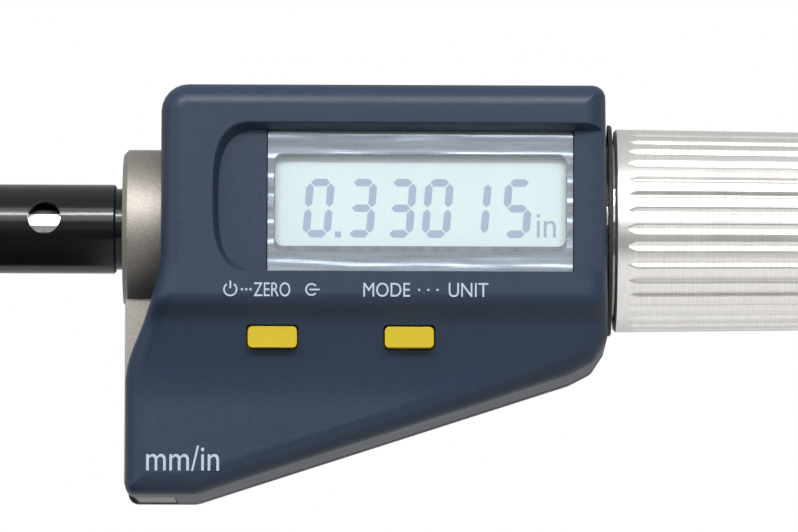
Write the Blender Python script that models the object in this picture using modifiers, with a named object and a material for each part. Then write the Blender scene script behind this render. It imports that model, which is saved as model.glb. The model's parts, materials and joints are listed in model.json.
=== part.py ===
"""Digital three-point bore micrometer, modelled as an assembly of separate pieces.

Frame: the spindle axis is the X axis. The origin is the centre of the flat end face of the
measuring head, +X runs towards the thimble and the ratchet, the display faces -Y and +Z is up.
All sizes are in metres, written as millimetres times MM.
"""

import math

import bmesh
import bpy
from mathutils import Matrix, Vector

MM = 0.001

# ---------------------------------------------------------------- driving dimensions
SEAT = 0.12 * MM          # gap between two faces that rest on each other
RUN = 0.08 * MM           # radial clearance of a part that turns or slides in another
OVER = 1.0 * MM           # how far a cutter reaches past what it cuts
JOIN = 0.1 * MM           # how far two joined shapes reach into each other
READING = 0.33015 * 25.4 * MM     # bore diameter that the gauge shows at rest
READING_MIN = 0.275 * 25.4 * MM   # smallest and largest bore that the gauge measures
READING_MAX = 0.350 * 25.4 * MM
CONE_SLOPE = 0.5          # radius gained by the cone in one unit of length

# measuring head and tube
HEAD_R = 3.3 * MM
HEAD_LENGTH = 24.0 * MM
HEAD_CAP = 1.2 * MM
HEAD_BORE_R = 2.6 * MM
HEAD_SHANK = 6.0 * MM
ANVIL_X = 4.0 * MM
ANVIL_LENGTH = 2.4 * MM
ANVIL_WIDTH = 1.6 * MM
ANVIL_COUNT = 3
CONE_R_AT_ANVIL = 1.15 * MM
CONE_R_MAX = 2.45 * MM
CONE_BODY = 3.6 * MM       # straight part behind the anvils
CONE_NOSE = 0.6 * MM
CONE_SOCKET = 2.0 * MM
ROD_R = 1.5 * MM
ROD_SPIGOT_R = 1.0 * MM
ROD_COLLAR = 1.6 * MM
ROD_COLLAR_GAP = 0.3 * MM
HEAD_CAP_SPIGOT = 0.9 * MM
HEAD_CAP_CHAMFER = 0.3 * MM
HEAD_BORE_PAST_CONE = 3.0 * MM
SHANK_RELIEF = 0.4 * MM
SHANK_RELIEF_LENGTH = 1.0 * MM
ANVIL_SLOT_FLOOR = 0.5 * MM
ANVIL_TIP_ROUND = 0.5 * MM
BALL_R = 1.0 * MM
RETURN_SPRING_LENGTH = 7.0 * MM
RETURN_SPRING_R = 2.35 * MM
RETURN_SPRING_WIRE = 0.3 * MM
RETURN_SPRING_END = 0.5 * MM
RETURN_SPRING_TURNS = 5
TUBE_BORE_ROOM = 0.275 * MM     # between the spindle and the tube's bore
TUBE_WALL = 1.0 * MM
TUBE_NOSE_LIP = 0.3 * MM
TUBE_LENGTH = 33.5 * MM
TUBE_TAPER = 4.0 * MM
TUBE_NECK_STEP = 0.2 * MM
TUBE_NECK = 0.75 * MM
TUBE_SPIGOT = 4.0 * MM
WRENCH_HOLE_R = 1.65 * MM
WRENCH_HOLE_BACK = 7.85 * MM
WRENCH_HOLE_TILT = math.radians(10.0)

# frame casting
COLLAR_X = HEAD_LENGTH + TUBE_LENGTH + TUBE_NECK
COLLAR_R = 7.95 * MM
COLLAR_LENGTH = 8.0 * MM
COLLAR_CHAMFER = 0.5 * MM
COLLAR_FULL = 5.2 * MM     # length of the collar before its tapered end
COLLAR_TAPER = 0.8 * MM
ARM_WIDTH = 5.05 * MM
ARM_LEFT = 0.25 * MM
ARM_FRONT = -3.1 * MM
ARM_BACK = 4.5 * MM
ARM_FOOT_Z = -27.05 * MM
ARM_CORNER = 1.3 * MM
BRIDGE_TOP = -9.2 * MM
BRIDGE_BOTTOM = -12.7 * MM
BRIDGE_BACK = 3.2 * MM
BOSS_R = 7.4 * MM
BOSS_LENGTH = 6.4 * MM
BOSS_FOOT_HALF = 2.6 * MM
BOSS_FOOT_RISE = 0.6 * MM
BOSS_FOOT_TOP = -5.6 * MM
BOSS_RELIEF = 4.8 * MM    # length cut away for the circuit board
BOSS_RELIEF_DEPTH = 4.0 * MM
ARM_ROOT = 1.5 * MM       # how far below the collar's bore the arm is joined

# housing
HOUSING_LEFT = 3.95 * MM
HOUSING_RIGHT = 47.85 * MM
HOUSING_SKEW = 0.3 * MM
ARM_STEP = 3.5 * MM       # how far the lower block reaches past the upper one on the left
HOUSING_TOP = 13.3 * MM
HOUSING_BOTTOM = -27.15 * MM
SLOPE_START = 7.4 * MM
SLOPE_ANGLE = math.radians(18.0)
SLOPE_END = 44.5 * MM
CORNER_LEFT = 2.7 * MM
CORNER_RIGHT = 1.3 * MM
CORNER_FOOT = 1.0 * MM
NOSE_RUN = 2.3 * MM       # the slanted edge turns up in two steps at its right end
NOSE_RISE = 1.2 * MM
NOSE_TOP = 3.4 * MM
FLANK_TOP = -4.7 * MM     # the left side sweeps out between these heights, with points in
FLANK_FOOT = -14.6 * MM   # between at a share of the reach and a height
FLANK = ((0.75, -8.0 * MM), (0.5, -10.3 * MM), (0.25, -12.3 * MM))
FRONT_UPPER = -12.8 * MM
FRONT_LOWER = -8.5 * MM
STEP_TOP = -8.3 * MM
STEP_FOOT = -10.0 * MM
SWEEP_END = -18.5 * MM
SWEEP_SHARE = 0.52        # share of the step that the sweep takes up
SEAM_Y = 3.4 * MM
BACK_UPPER = 12.0 * MM
BACK_LOWER = 8.2 * MM
BACK_STEP_Z = -11.5 * MM
WALL = 1.5 * MM
SPARE = 4.0 * MM          # length beyond the seam that rounding the rim needs
MARGIN = 5.0 * MM         # room of a cutter around the whole housing
RIM = 0.9 * MM
GASKET = 0.3 * MM
GASKET_INSET = 0.2 * MM
BACK_STEP_LEAN = 1.5 * MM
DISPLAY_WALL_LEFT = 1.2 * MM     # thick part of the cover around the recess
DISPLAY_WALL_BELOW = 0.8 * MM
DISPLAY_WALL_ABOVE = 1.2 * MM

# display
RECESS_DEPTH = 1.5 * MM
RECESS_LEFT = 9.13 * MM
RECESS_RIGHT = 47.05 * MM
RECESS_TOP = 9.3 * MM
RECESS_BOTTOM = -5.4 * MM
RECESS_SIDE = 3.6 * MM
WINDOW_LEFT = 14.5 * MM
WINDOW_RIGHT = 44.67 * MM
WINDOW_TOP = 8.64 * MM
WINDOW_BOTTOM = -5.27 * MM
WINDOW_THICK = 0.8 * MM
WINDOW_CORNER = 0.4 * MM
MASK_THICK = 0.15 * MM
LCD_LEFT = 15.22 * MM
LCD_RIGHT = 43.97 * MM
LCD_TOP = 6.35 * MM
LCD_BOTTOM = -2.71 * MM
LCD_BORDER = 0.7 * MM
LCD_THICK = 1.3 * MM
LEDGE = 0.5 * MM
ZEBRA_THICK = 1.1 * MM
ZEBRA_HEIGHT = 1.6 * MM
ZEBRA_INSET = 1.0 * MM
HOLDER_WALL = 0.8 * MM
BOARD_THICK = 0.8 * MM
BOARD_LEFT = 14.6 * MM
BOARD_RIGHT = 45.2 * MM
BOARD_FOOT_LEFT = 7.0 * MM
BOARD_FOOT_RIGHT = 30.4 * MM
BOARD_FOOT_TOP = -9.2 * MM
BOARD_FOOT_Z = -17.4 * MM

# buttons
BUTTON_WIDTH = 4.85 * MM
BUTTON_HEIGHT = 2.1 * MM
BUTTON_Z = -11.75 * MM
BUTTON_LEFTS = (12.6 * MM, 26.12 * MM)
BUTTON_PROUD = 0.45 * MM
BUTTON_GAP = 0.15 * MM
BUTTON_CORNER = 0.4 * MM
BUTTON_FLANGE = 0.6 * MM
BUTTON_FLANGE_THICK = 0.5 * MM
BUTTON_WALL = 0.7 * MM
BUTTON_TRAVEL = 0.5 * MM
BUTTON_STEM_R = 0.8 * MM
SWITCH_SIZE = 3.0 * MM
SWITCH_THICK = 0.4 * MM

# thimble, sleeves and ratchet
RING_R = 10.55 * MM
RING_LENGTH = 0.4 * MM
THIMBLE_START = 48.9 * MM
THIMBLE_LENGTH = 46.0 * MM
THIMBLE_R = 10.14 * MM
THIMBLE_END_R = 9.55 * MM
THIMBLE_PLAIN = 1.6 * MM
THIMBLE_BORE_R = 8.75 * MM
THIMBLE_END_WALL = 1.9 * MM
FLUTES = 36
FLUTE_WIDTH = 0.55 * MM
FLUTE_DEPTH = 0.25 * MM
SPINDLE_R = 3.175 * MM
SPINDLE_NOSE_R = 3.0 * MM
SPINDLE_NOSE = 18.0 * MM
TAIL_R = 2.5 * MM
TAIL_LENGTH = 18.0 * MM
SPINDLE_END = 90.0 * MM
SLEEVE_R = 5.0 * MM
SLEEVE_START = 41.2 * MM
SLEEVE_END = 82.0 * MM
OUTER_SLEEVE_R = 8.6 * MM
OUTER_SLEEVE_END = 77.5 * MM
NUT_R = 7.0 * MM
NUT_LENGTH = 3.6 * MM
DRIVER_START = 84.0 * MM
DRIVER_LENGTH = 5.5 * MM
STEM_R = 3.0 * MM
STEM_FLANGE = 2.0 * MM
STEM_FLANGE_THICK = 0.9 * MM
STEM_HOLE = 4.5 * MM
FLUTE_RUN_OUT = 0.8 * MM
SLEEVE_CHAMFER = 0.5 * MM
NUT_CHAMFER = 0.6 * MM
RING_CHAMFER = 0.2 * MM
KNOB_R = 6.9 * MM
KNOB_LENGTH = 12.5 * MM
KNOB_BORE_R = 5.2 * MM
KNOB_FLOOR = 2.0 * MM
KNOB_RIBS = 24
KNOB_PLAIN = 1.2 * MM
KNOB_RUN_OUT = 0.4 * MM
KNOB_GROOVE_WIDTH = 0.7 * MM
KNOB_GROOVE_DEPTH = 0.3 * MM
RATCHET_WIRE = 0.35 * MM
RATCHET_COIL_R = 4.2 * MM
RATCHET_TURNS = 4
WASHER_THICK = 0.8 * MM
SCREW_EDGE = 0.3 * MM
SCREW_SLOT_DEPTH = 0.5 * MM
SCREW_SLOT_HALF = 0.4 * MM
STEM_PAST_FLOOR = 7.9 * MM
SCREW_HEAD_R = 3.6 * MM

# encoder
STATOR_R = 8.4 * MM
STATOR_THICK = 1.0 * MM
ROTOR_HUB_R = 5.4 * MM
ROTOR_HUB = 3.0 * MM
KEY_WIDTH = 1.2 * MM
KEY_DEPTH = 0.8 * MM
KEY_INSET = 0.3 * MM
KEY_WALL = 0.9 * MM
KEY_END_GAP = 0.3 * MM     # room past the key at either end of its travel

# battery
BATTERY_R = 5.8 * MM
BATTERY_THICK = 5.4 * MM
BATTERY_X = 30.0 * MM
BATTERY_Z = 2.6 * MM
BATTERY_FRONT = 4.6 * MM
CAP_PLUG_LAP = 0.3 * MM          # how far the cap's plug covers the cell's edge
SEAL_GROOVE_WIDTH = 0.9 * MM
CAP_LAP = 0.6 * MM               # how far the cap's flange covers the seal groove's edge
CAP_SINK = 1.22 * MM
SEAL_WIRE_R = 0.33 * MM
CONTACT_THICK = 0.3 * MM
CONTACT_SHARE = 0.7       # radius of a contact as a share of the cell's
CAP_WELL_WALL = 0.9 * MM
COIN_SLOT_SHARE = 0.7
COIN_SLOT_DEPTH = 0.7 * MM
COIN_SLOT_HALF = 0.8 * MM

# screws
SCREW_R = 1.0 * MM
SCREW_HEAD = 1.9 * MM
SCREW_HEAD_THICK = 1.1 * MM
SCREW_GRIP = 5.6 * MM      # thread of a cover screw in front of the seam
FRAME_SCREW_GRIP = 2.9 * MM
BOARD_SCREW_GRIP = 1.9 * MM
PILOT_ROOM = 0.3 * MM      # how much deeper a pilot hole is than its screw
SCREW_SINK = 1.5 * MM
POST_R = 2.1 * MM
SMALL_POST_R = 1.6 * MM
BOARD_SCREW_R = 0.7 * MM
BOARD_SCREW_HEAD = 1.3 * MM
BOARD_SCREW_HEAD_THICK = 0.7 * MM

SIDES = 32
SMALL_SIDES = 16
SCREW_SIDES = 12

# ---------------------------------------------------------------- dependent sizes
CAP_PLUG_R = BATTERY_R + CAP_PLUG_LAP
SEAL_GROOVE_R = CAP_PLUG_R + SEAL_GROOVE_WIDTH
CAP_R = SEAL_GROOVE_R + CAP_LAP
ANVIL_REACH = READING / 2
FEED_BACK = (READING - READING_MIN) / 2 / CONE_SLOPE      # feed travel towards the ratchet
FEED_AHEAD = (READING_MAX - READING) / 2 / CONE_SLOPE     # feed travel towards the head
CONE_APEX = ANVIL_X - CONE_R_AT_ANVIL / CONE_SLOPE
CONE_NOSE_X = ANVIL_X - CONE_NOSE
TUBE_X = HEAD_LENGTH
TUBE_BORE_R = SPINDLE_R + TUBE_BORE_ROOM
TUBE_R = TUBE_BORE_R + TUBE_WALL
TUBE_NECK_R = TUBE_R - TUBE_NECK_STEP
SHANK_R = TUBE_BORE_R - RUN
BUSH_X = COLLAR_X + TUBE_SPIGOT + SEAT
RECESS_FLOOR = FRONT_UPPER + RECESS_DEPTH
WINDOW_BACK = RECESS_FLOOR + SEAT + WINDOW_THICK
MASK_BACK = WINDOW_BACK + SEAT + MASK_THICK
COVER_INNER = MASK_BACK + SEAT + LEDGE
LCD_FRONT = COVER_INNER + SEAT
LCD_BACK = LCD_FRONT + LCD_THICK
ZEBRA_BACK = LCD_BACK + SEAT + ZEBRA_THICK
BOARD_FRONT = ZEBRA_BACK + SEAT
BOARD_BACK = BOARD_FRONT + BOARD_THICK
BOSS_X = COLLAR_X + SLEEVE_START
STATOR_X = COLLAR_X + COLLAR_LENGTH + SEAT
ROTOR_X = STATOR_X + STATOR_THICK + 2 * SEAT
ROTOR_END = ROTOR_X + STATOR_THICK + ROTOR_HUB
KEY_X = ROTOR_X + STATOR_THICK + KEY_INSET
THIMBLE_X = COLLAR_X + THIMBLE_START
THIMBLE_END = THIMBLE_X + THIMBLE_LENGTH
KNOB_X = THIMBLE_END + 3 * SEAT
CAP_FACE = BACK_UPPER - SEAT
CAP_SEAT = BACK_UPPER - CAP_SINK
BATTERY_BACK = BATTERY_FRONT + BATTERY_THICK
REAR_START = SEAM_Y + GASKET + 2 * SEAT
RING_START = HOUSING_RIGHT + HOUSING_SKEW + SEAT
SCREW_PLACES = (
    (9.2 * MM, 10.6 * MM), (43.6 * MM, 10.6 * MM), (9.4 * MM, -21.6 * MM), (33.0 * MM, -15.1 * MM),
)
BOARD_SCREWS = ((11.0 * MM, -13.5 * MM), (37.5 * MM, -7.0 * MM))
FRAME_SCREWS = ((20.0 * MM, -10.95 * MM), (36.0 * MM, -10.95 * MM))


# ---------------------------------------------------------------- helpers
def clear_scene():
    """Remove every object, so that the model is the only thing in the file."""
    for item in list(bpy.data.objects):
        bpy.data.objects.remove(item, do_unlink=True)


def new_collection(name):
    """Make a collection under the scene's own one."""
    found = bpy.data.collections.new(name)
    bpy.context.scene.collection.children.link(found)
    return found


def material(name, color, roughness, metallic=0.0):
    """A Principled material with one colour."""
    made = bpy.data.materials.new(name)
    made.use_nodes = True
    shader = made.node_tree.nodes["Principled BSDF"]
    shader.inputs["Base Color"].default_value = (*color, 1.0)
    shader.inputs["Roughness"].default_value = roughness
    shader.inputs["Metallic"].default_value = metallic
    return made


def add_object(name, shape, collection):
    """Turn a bmesh into an object of the collection and free the bmesh."""
    mesh = bpy.data.meshes.new(name)
    shape.to_mesh(mesh)
    shape.free()
    made = bpy.data.objects.new(name, mesh)
    collection.objects.link(made)
    return made


def part(name, shape, look):
    """A sub-part of the model with its own material."""
    made = add_object(name, shape, PARTS)
    made.data.materials.append(look)
    made.data.shade_smooth()
    made.data.set_sharp_from_angle(angle=math.radians(35.0))
    return made


def cutter(name, shape):
    """A hidden body that a Boolean reads."""
    made = add_object(name, shape, CUTTERS)
    made.hide_render = True
    made.display_type = "WIRE"
    return made


def boolean(target, tool, operation="DIFFERENCE"):
    """Cut the target with the tool, or join or intersect them, with the exact solver."""
    step = target.modifiers.new(tool.name, "BOOLEAN")
    step.operation = operation
    step.solver = "EXACT"
    step.object = tool


def box(low, high):
    """A box between two corners."""
    shape = bmesh.new()
    bmesh.ops.create_cube(shape, size=1.0)
    size = [b - a for a, b in zip(low, high)]
    middle = [(a + b) / 2 for a, b in zip(low, high)]
    bmesh.ops.scale(shape, vec=size, verts=shape.verts)
    bmesh.ops.translate(shape, vec=middle, verts=shape.verts)
    return shape


def rod(radius, start, end, axis="X", centre=(0.0, 0.0), sides=SIDES, end_radius=None):
    """A cylinder or cone along an axis, centred on the other two coordinates."""
    shape = bmesh.new()
    bmesh.ops.create_cone(
        shape, cap_ends=True, segments=sides, radius1=radius,
        radius2=radius if end_radius is None else end_radius, depth=end - start,
    )
    middle = (start + end) / 2
    if axis == "X":
        turn = Matrix.Rotation(math.radians(90.0), 4, "Y")
        place = Vector((middle, centre[0], centre[1]))
    elif axis == "Y":
        turn = Matrix.Rotation(math.radians(-90.0), 4, "X")
        place = Vector((centre[0], middle, centre[1]))
    else:
        turn = Matrix.Identity(4)
        place = Vector((centre[0], centre[1], middle))
    bmesh.ops.transform(shape, matrix=Matrix.Translation(place) @ turn, verts=shape.verts)
    return shape


def turned(profile, sides=SIDES):
    """A body turned about the X axis from a closed list of (x, radius) points."""
    shape = bmesh.new()
    corners = [shape.verts.new((x, 0.0, radius)) for x, radius in profile]
    for first, second in zip(corners, corners[1:] + corners[:1]):
        if first.co.z > 0 or second.co.z > 0:
            shape.edges.new((first, second))
    bmesh.ops.spin(
        shape, geom=shape.verts[:] + shape.edges[:], cent=(0, 0, 0), axis=(1, 0, 0),
        angle=2 * math.pi, steps=sides, use_merge=True,
    )
    bmesh.ops.remove_doubles(shape, verts=shape.verts, dist=1e-7)
    bmesh.ops.recalc_face_normals(shape, faces=shape.faces)
    return shape


def prism(points, start, end, axis="Y"):
    """A flat outline swept along Y (points are x, z) or along X (points are y, z)."""
    shape = bmesh.new()
    if axis == "Y":
        corners = [shape.verts.new((a, start, b)) for a, b in points]
        step = Vector((0.0, end - start, 0.0))
    else:
        corners = [shape.verts.new((start, a, b)) for a, b in points]
        step = Vector((end - start, 0.0, 0.0))
    face = shape.faces.new(corners)
    swept = bmesh.ops.extrude_face_region(shape, geom=[face])
    moved = [item for item in swept["geom"] if isinstance(item, bmesh.types.BMVert)]
    bmesh.ops.translate(shape, vec=step, verts=moved)
    bmesh.ops.recalc_face_normals(shape, faces=shape.faces)
    return shape


def arc(centre, radius, start, end, steps):
    """Points on an arc, with the angles in degrees."""
    angles = [math.radians(start + (end - start) * i / steps) for i in range(steps + 1)]
    return [(centre[0] + radius * math.cos(a), centre[1] + radius * math.sin(a)) for a in angles]


def rounded_box(left, bottom, right, top, radius, steps=4):
    """The outline of a rectangle with round corners."""
    return (
        arc((right - radius, top - radius), radius, 0, 90, steps)
        + arc((left + radius, top - radius), radius, 90, 180, steps)
        + arc((left + radius, bottom + radius), radius, 180, 270, steps)
        + arc((right - radius, bottom + radius), radius, 270, 360, steps)
    )


def inset(points, distance):
    """The outline moved inwards by a distance; its points run counter-clockwise."""
    moved = []
    count = len(points)
    for i in range(count):
        before = Vector(points[i - 1])
        here = Vector(points[i])
        after = Vector(points[(i + 1) % count])
        first = (here - before).normalized()
        second = (after - here).normalized()
        inward = (Vector((-first.y, first.x)) + Vector((-second.y, second.x))).normalized()
        lean = max(0.5, inward.dot(Vector((-first.y, first.x))))
        moved.append(tuple(here + inward * distance / lean))
    return moved


def shifted(points):
    """Move an outline's x values from the collar's left face to the frame's origin."""
    return [(COLLAR_X + x, z) for x, z in points]


def set_origin(item, place):
    """Put the object's origin on its joint axis and leave its shape where it is."""
    item.data.transform(Matrix.Translation(-Vector(place)))
    item.location = place


# ---------------------------------------------------------------- outlines of the housing
def slope_z(x):
    """Height of the slanted lower edge at a distance from the collar's left face."""
    return HOUSING_BOTTOM + (x - SLOPE_START) * math.tan(SLOPE_ANGLE)


def housing_outline(distance=0.0):
    """The housing seen from the front, counter-clockwise, or the same moved inwards."""
    nose = slope_z(SLOPE_END)
    left = HOUSING_LEFT - ARM_STEP
    right = HOUSING_RIGHT + HOUSING_SKEW
    corners = [
        (left, HOUSING_BOTTOM, CORNER_FOOT), (SLOPE_START, HOUSING_BOTTOM, 0.0), (SLOPE_END, nose, 0.0),
        (SLOPE_END + NOSE_RUN, nose + NOSE_RISE, 0.0), (right, nose + NOSE_TOP, 0.0),
        (HOUSING_RIGHT, HOUSING_TOP, CORNER_RIGHT), (HOUSING_LEFT, HOUSING_TOP, CORNER_LEFT),
        (HOUSING_LEFT, FLANK_TOP, 0.0),
        *((left + share * ARM_STEP, height, 0.0) for share, height in FLANK),
        (left, FLANK_FOOT, 0.0),
    ]
    points = inset([(x, z) for x, z, _ in corners], distance)
    rounded = []
    for i, (_, _, radius) in enumerate(corners):
        radius = max(radius - distance, 0.0)
        if radius == 0.0:
            rounded.append(points[i])
        else:
            rounded += round_corner(points[i - 1], points[i], points[(i + 1) % len(points)], radius)
    return rounded


def round_corner(before, corner, after, radius, steps=4):
    """Points of an arc in place of one corner of a counter-clockwise outline."""
    here = Vector(corner)
    back = (Vector(before) - here).normalized()
    ahead = (Vector(after) - here).normalized()
    half = back.angle(ahead) / 2
    centre = here + (back + ahead).normalized() * radius / math.sin(half)
    first = here + back * radius / math.tan(half) - centre
    last = here + ahead * radius / math.tan(half) - centre
    turn = math.atan2(first.x * last.y - first.y * last.x, first.dot(last))
    points = []
    for i in range(steps + 1):
        angle = turn * i / steps
        points.append((
            centre.x + first.x * math.cos(angle) - first.y * math.sin(angle),
            centre.y + first.x * math.sin(angle) + first.y * math.cos(angle),
        ))
    return points


# ---------------------------------------------------------------- head and tube
def head_pieces():
    """The measuring head: body, end cap, cone, rod, anvils, spring and ball."""
    bore = HEAD_BORE_R
    cone_back = ANVIL_X + ANVIL_LENGTH + CONE_BODY
    seat_x = HEAD_CAP + SEAT
    shank_end = HEAD_LENGTH + HEAD_SHANK
    relief_end = TUBE_X + SHANK_RELIEF_LENGTH
    bore_end = cone_back + HEAD_BORE_PAST_CONE
    body = part("head_body", turned([
        (seat_x, bore), (seat_x, HEAD_R), (TUBE_X - SEAT, HEAD_R), (TUBE_X - SEAT, SHANK_R - SHANK_RELIEF),
        (relief_end, SHANK_R - SHANK_RELIEF), (relief_end, SHANK_R), (shank_end, SHANK_R),
        (shank_end, ROD_R + RUN), (bore_end, ROD_R + RUN), (bore_end, bore),
    ]), STEEL)
    for i in range(ANVIL_COUNT):
        slot = box(
            (ANVIL_X - RUN, -ANVIL_WIDTH / 2 - RUN, ANVIL_SLOT_FLOOR),
            (ANVIL_X + ANVIL_LENGTH + RUN, ANVIL_WIDTH / 2 + RUN, HEAD_R + OVER),
        )
        turn = Matrix.Rotation(2 * math.pi * i / ANVIL_COUNT, 4, "X")
        bmesh.ops.transform(slot, matrix=turn, verts=slot.verts)
        boolean(body, cutter(f"cut_anvil_slot_{i + 1}", slot))

    part("head_end_cap", turned([
        (0.0, 0.0), (0.0, HEAD_R - HEAD_CAP_CHAMFER), (HEAD_CAP_CHAMFER, HEAD_R), (HEAD_CAP, HEAD_R),
        (HEAD_CAP, bore - RUN), (HEAD_CAP + HEAD_CAP_SPIGOT, bore - RUN), (HEAD_CAP + HEAD_CAP_SPIGOT, 0.0),
    ]), STEEL)

    nose_r = (CONE_NOSE_X - CONE_APEX) * CONE_SLOPE
    cone_full = CONE_APEX + CONE_R_MAX / CONE_SLOPE
    socket_x = cone_back - CONE_SOCKET
    part("measuring_cone", turned([
        (CONE_NOSE_X, 0.0), (CONE_NOSE_X, nose_r), (cone_full, CONE_R_MAX), (cone_back, CONE_R_MAX),
        (cone_back, ROD_SPIGOT_R + SEAT), (socket_x, ROD_SPIGOT_R + SEAT), (socket_x, 0.0),
    ], SMALL_SIDES), HARD_STEEL)

    collar_x = shank_end + RETURN_SPRING_LENGTH
    rod_end = collar_x + ROD_COLLAR
    part("push_rod", turned([
        (socket_x + SEAT, 0.0), (socket_x + SEAT, ROD_SPIGOT_R), (cone_back + SEAT, ROD_SPIGOT_R),
        (cone_back + SEAT, ROD_R), (collar_x, ROD_R), (collar_x, SHANK_R - ROD_COLLAR_GAP),
        (rod_end, SHANK_R - ROD_COLLAR_GAP), (rod_end, 0.0),
    ], SMALL_SIDES), HARD_STEEL)

    ball = bmesh.new()
    bmesh.ops.create_uvsphere(ball, u_segments=12, v_segments=8, radius=BALL_R)
    bmesh.ops.translate(ball, vec=(rod_end + SEAT + BALL_R, 0, 0), verts=ball.verts)
    part("thrust_ball", ball, HARD_STEEL)

    coil(
        "return_spring", shank_end + RETURN_SPRING_END, collar_x - RETURN_SPRING_END, RETURN_SPRING_R,
        RETURN_SPRING_WIRE, RETURN_SPRING_TURNS, SPRING_STEEL,
    )

    for i in range(ANVIL_COUNT):
        anvil(i)
    return rod_end + 2 * SEAT + 2 * BALL_R


def anvil(index):
    """One measuring anvil, with its foot slanted to the cone and its tip rounded."""
    foot = CONE_R_AT_ANVIL + RUN
    rise = ANVIL_LENGTH * CONE_SLOPE
    shape = box(
        (ANVIL_X, -ANVIL_WIDTH / 2, foot), (ANVIL_X + ANVIL_LENGTH, ANVIL_WIDTH / 2, ANVIL_REACH)
    )
    for corner in shape.verts:
        if corner.co.z < (foot + ANVIL_REACH) / 2 and corner.co.x > ANVIL_X + ANVIL_LENGTH / 2:
            corner.co.z += rise
    long_edges = [
        edge for edge in shape.edges
        if all(v.co.z > ANVIL_REACH - 0.1 * MM for v in edge.verts)
        and abs(edge.verts[0].co.x - edge.verts[1].co.x) > ANVIL_LENGTH / 2
    ]
    bmesh.ops.bevel(
        shape, geom=long_edges, offset=ANVIL_TIP_ROUND, offset_type="OFFSET", affect="EDGES", segments=3,
        profile=0.5, material=-1,
    )
    turn = Matrix.Rotation(2 * math.pi * index / ANVIL_COUNT, 4, "X")
    bmesh.ops.transform(shape, matrix=turn, verts=shape.verts)
    part(f"anvil_{index + 1}", shape, CARBIDE)


def coil(name, start, end, radius, wire, turns, look):
    """A helical spring about the X axis, as a bevelled curve made a mesh."""
    steps = 8
    count = turns * steps + 1
    curve = bpy.data.curves.new(name, "CURVE")
    curve.dimensions = "3D"
    curve.bevel_depth = wire
    curve.bevel_resolution = 1
    curve.use_fill_caps = True
    line = curve.splines.new("POLY")
    line.points.add(count - 1)
    for i in range(count):
        angle = 2 * math.pi * i / steps
        x = start + (end - start) * i / (count - 1)
        line.points[i].co = (x, radius * math.cos(angle), radius * math.sin(angle), 1.0)
    guide = bpy.data.objects.new(name + "_guide", curve)
    CUTTERS.objects.link(guide)
    bpy.context.view_layer.update()
    reading = guide.evaluated_get(bpy.context.evaluated_depsgraph_get())
    mesh = bpy.data.meshes.new_from_object(reading)
    bpy.data.objects.remove(guide, do_unlink=True)
    shape = bmesh.new()
    shape.from_mesh(mesh)
    bmesh.ops.remove_doubles(shape, verts=shape.verts, dist=1e-7)
    bmesh.ops.recalc_face_normals(shape, faces=shape.faces)
    part(name, shape, look)


def tube_piece():
    """The black extension tube with its tapered nose, neck and spigot."""
    end = COLLAR_X - TUBE_NECK
    tube = part("extension_tube", turned([
        (TUBE_X, TUBE_BORE_R), (TUBE_X, HEAD_R + TUBE_NOSE_LIP), (TUBE_X + TUBE_TAPER, TUBE_R),
        (end, TUBE_R), (end, TUBE_NECK_R), (COLLAR_X + TUBE_SPIGOT, TUBE_NECK_R),
        (COLLAR_X + TUBE_SPIGOT, TUBE_BORE_R),
    ]), BLACK_STEEL)
    hole = rod(WRENCH_HOLE_R, 0.0, TUBE_R + 2 * OVER, "Z", sides=SMALL_SIDES)
    tilt = Matrix.Rotation(math.radians(90.0) - WRENCH_HOLE_TILT, 4, "X")
    place = Matrix.Translation((COLLAR_X - WRENCH_HOLE_BACK, 0, 0))
    bmesh.ops.transform(hole, matrix=place @ tilt, verts=hole.verts)
    boolean(tube, cutter("cut_wrench_hole", hole))


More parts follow.
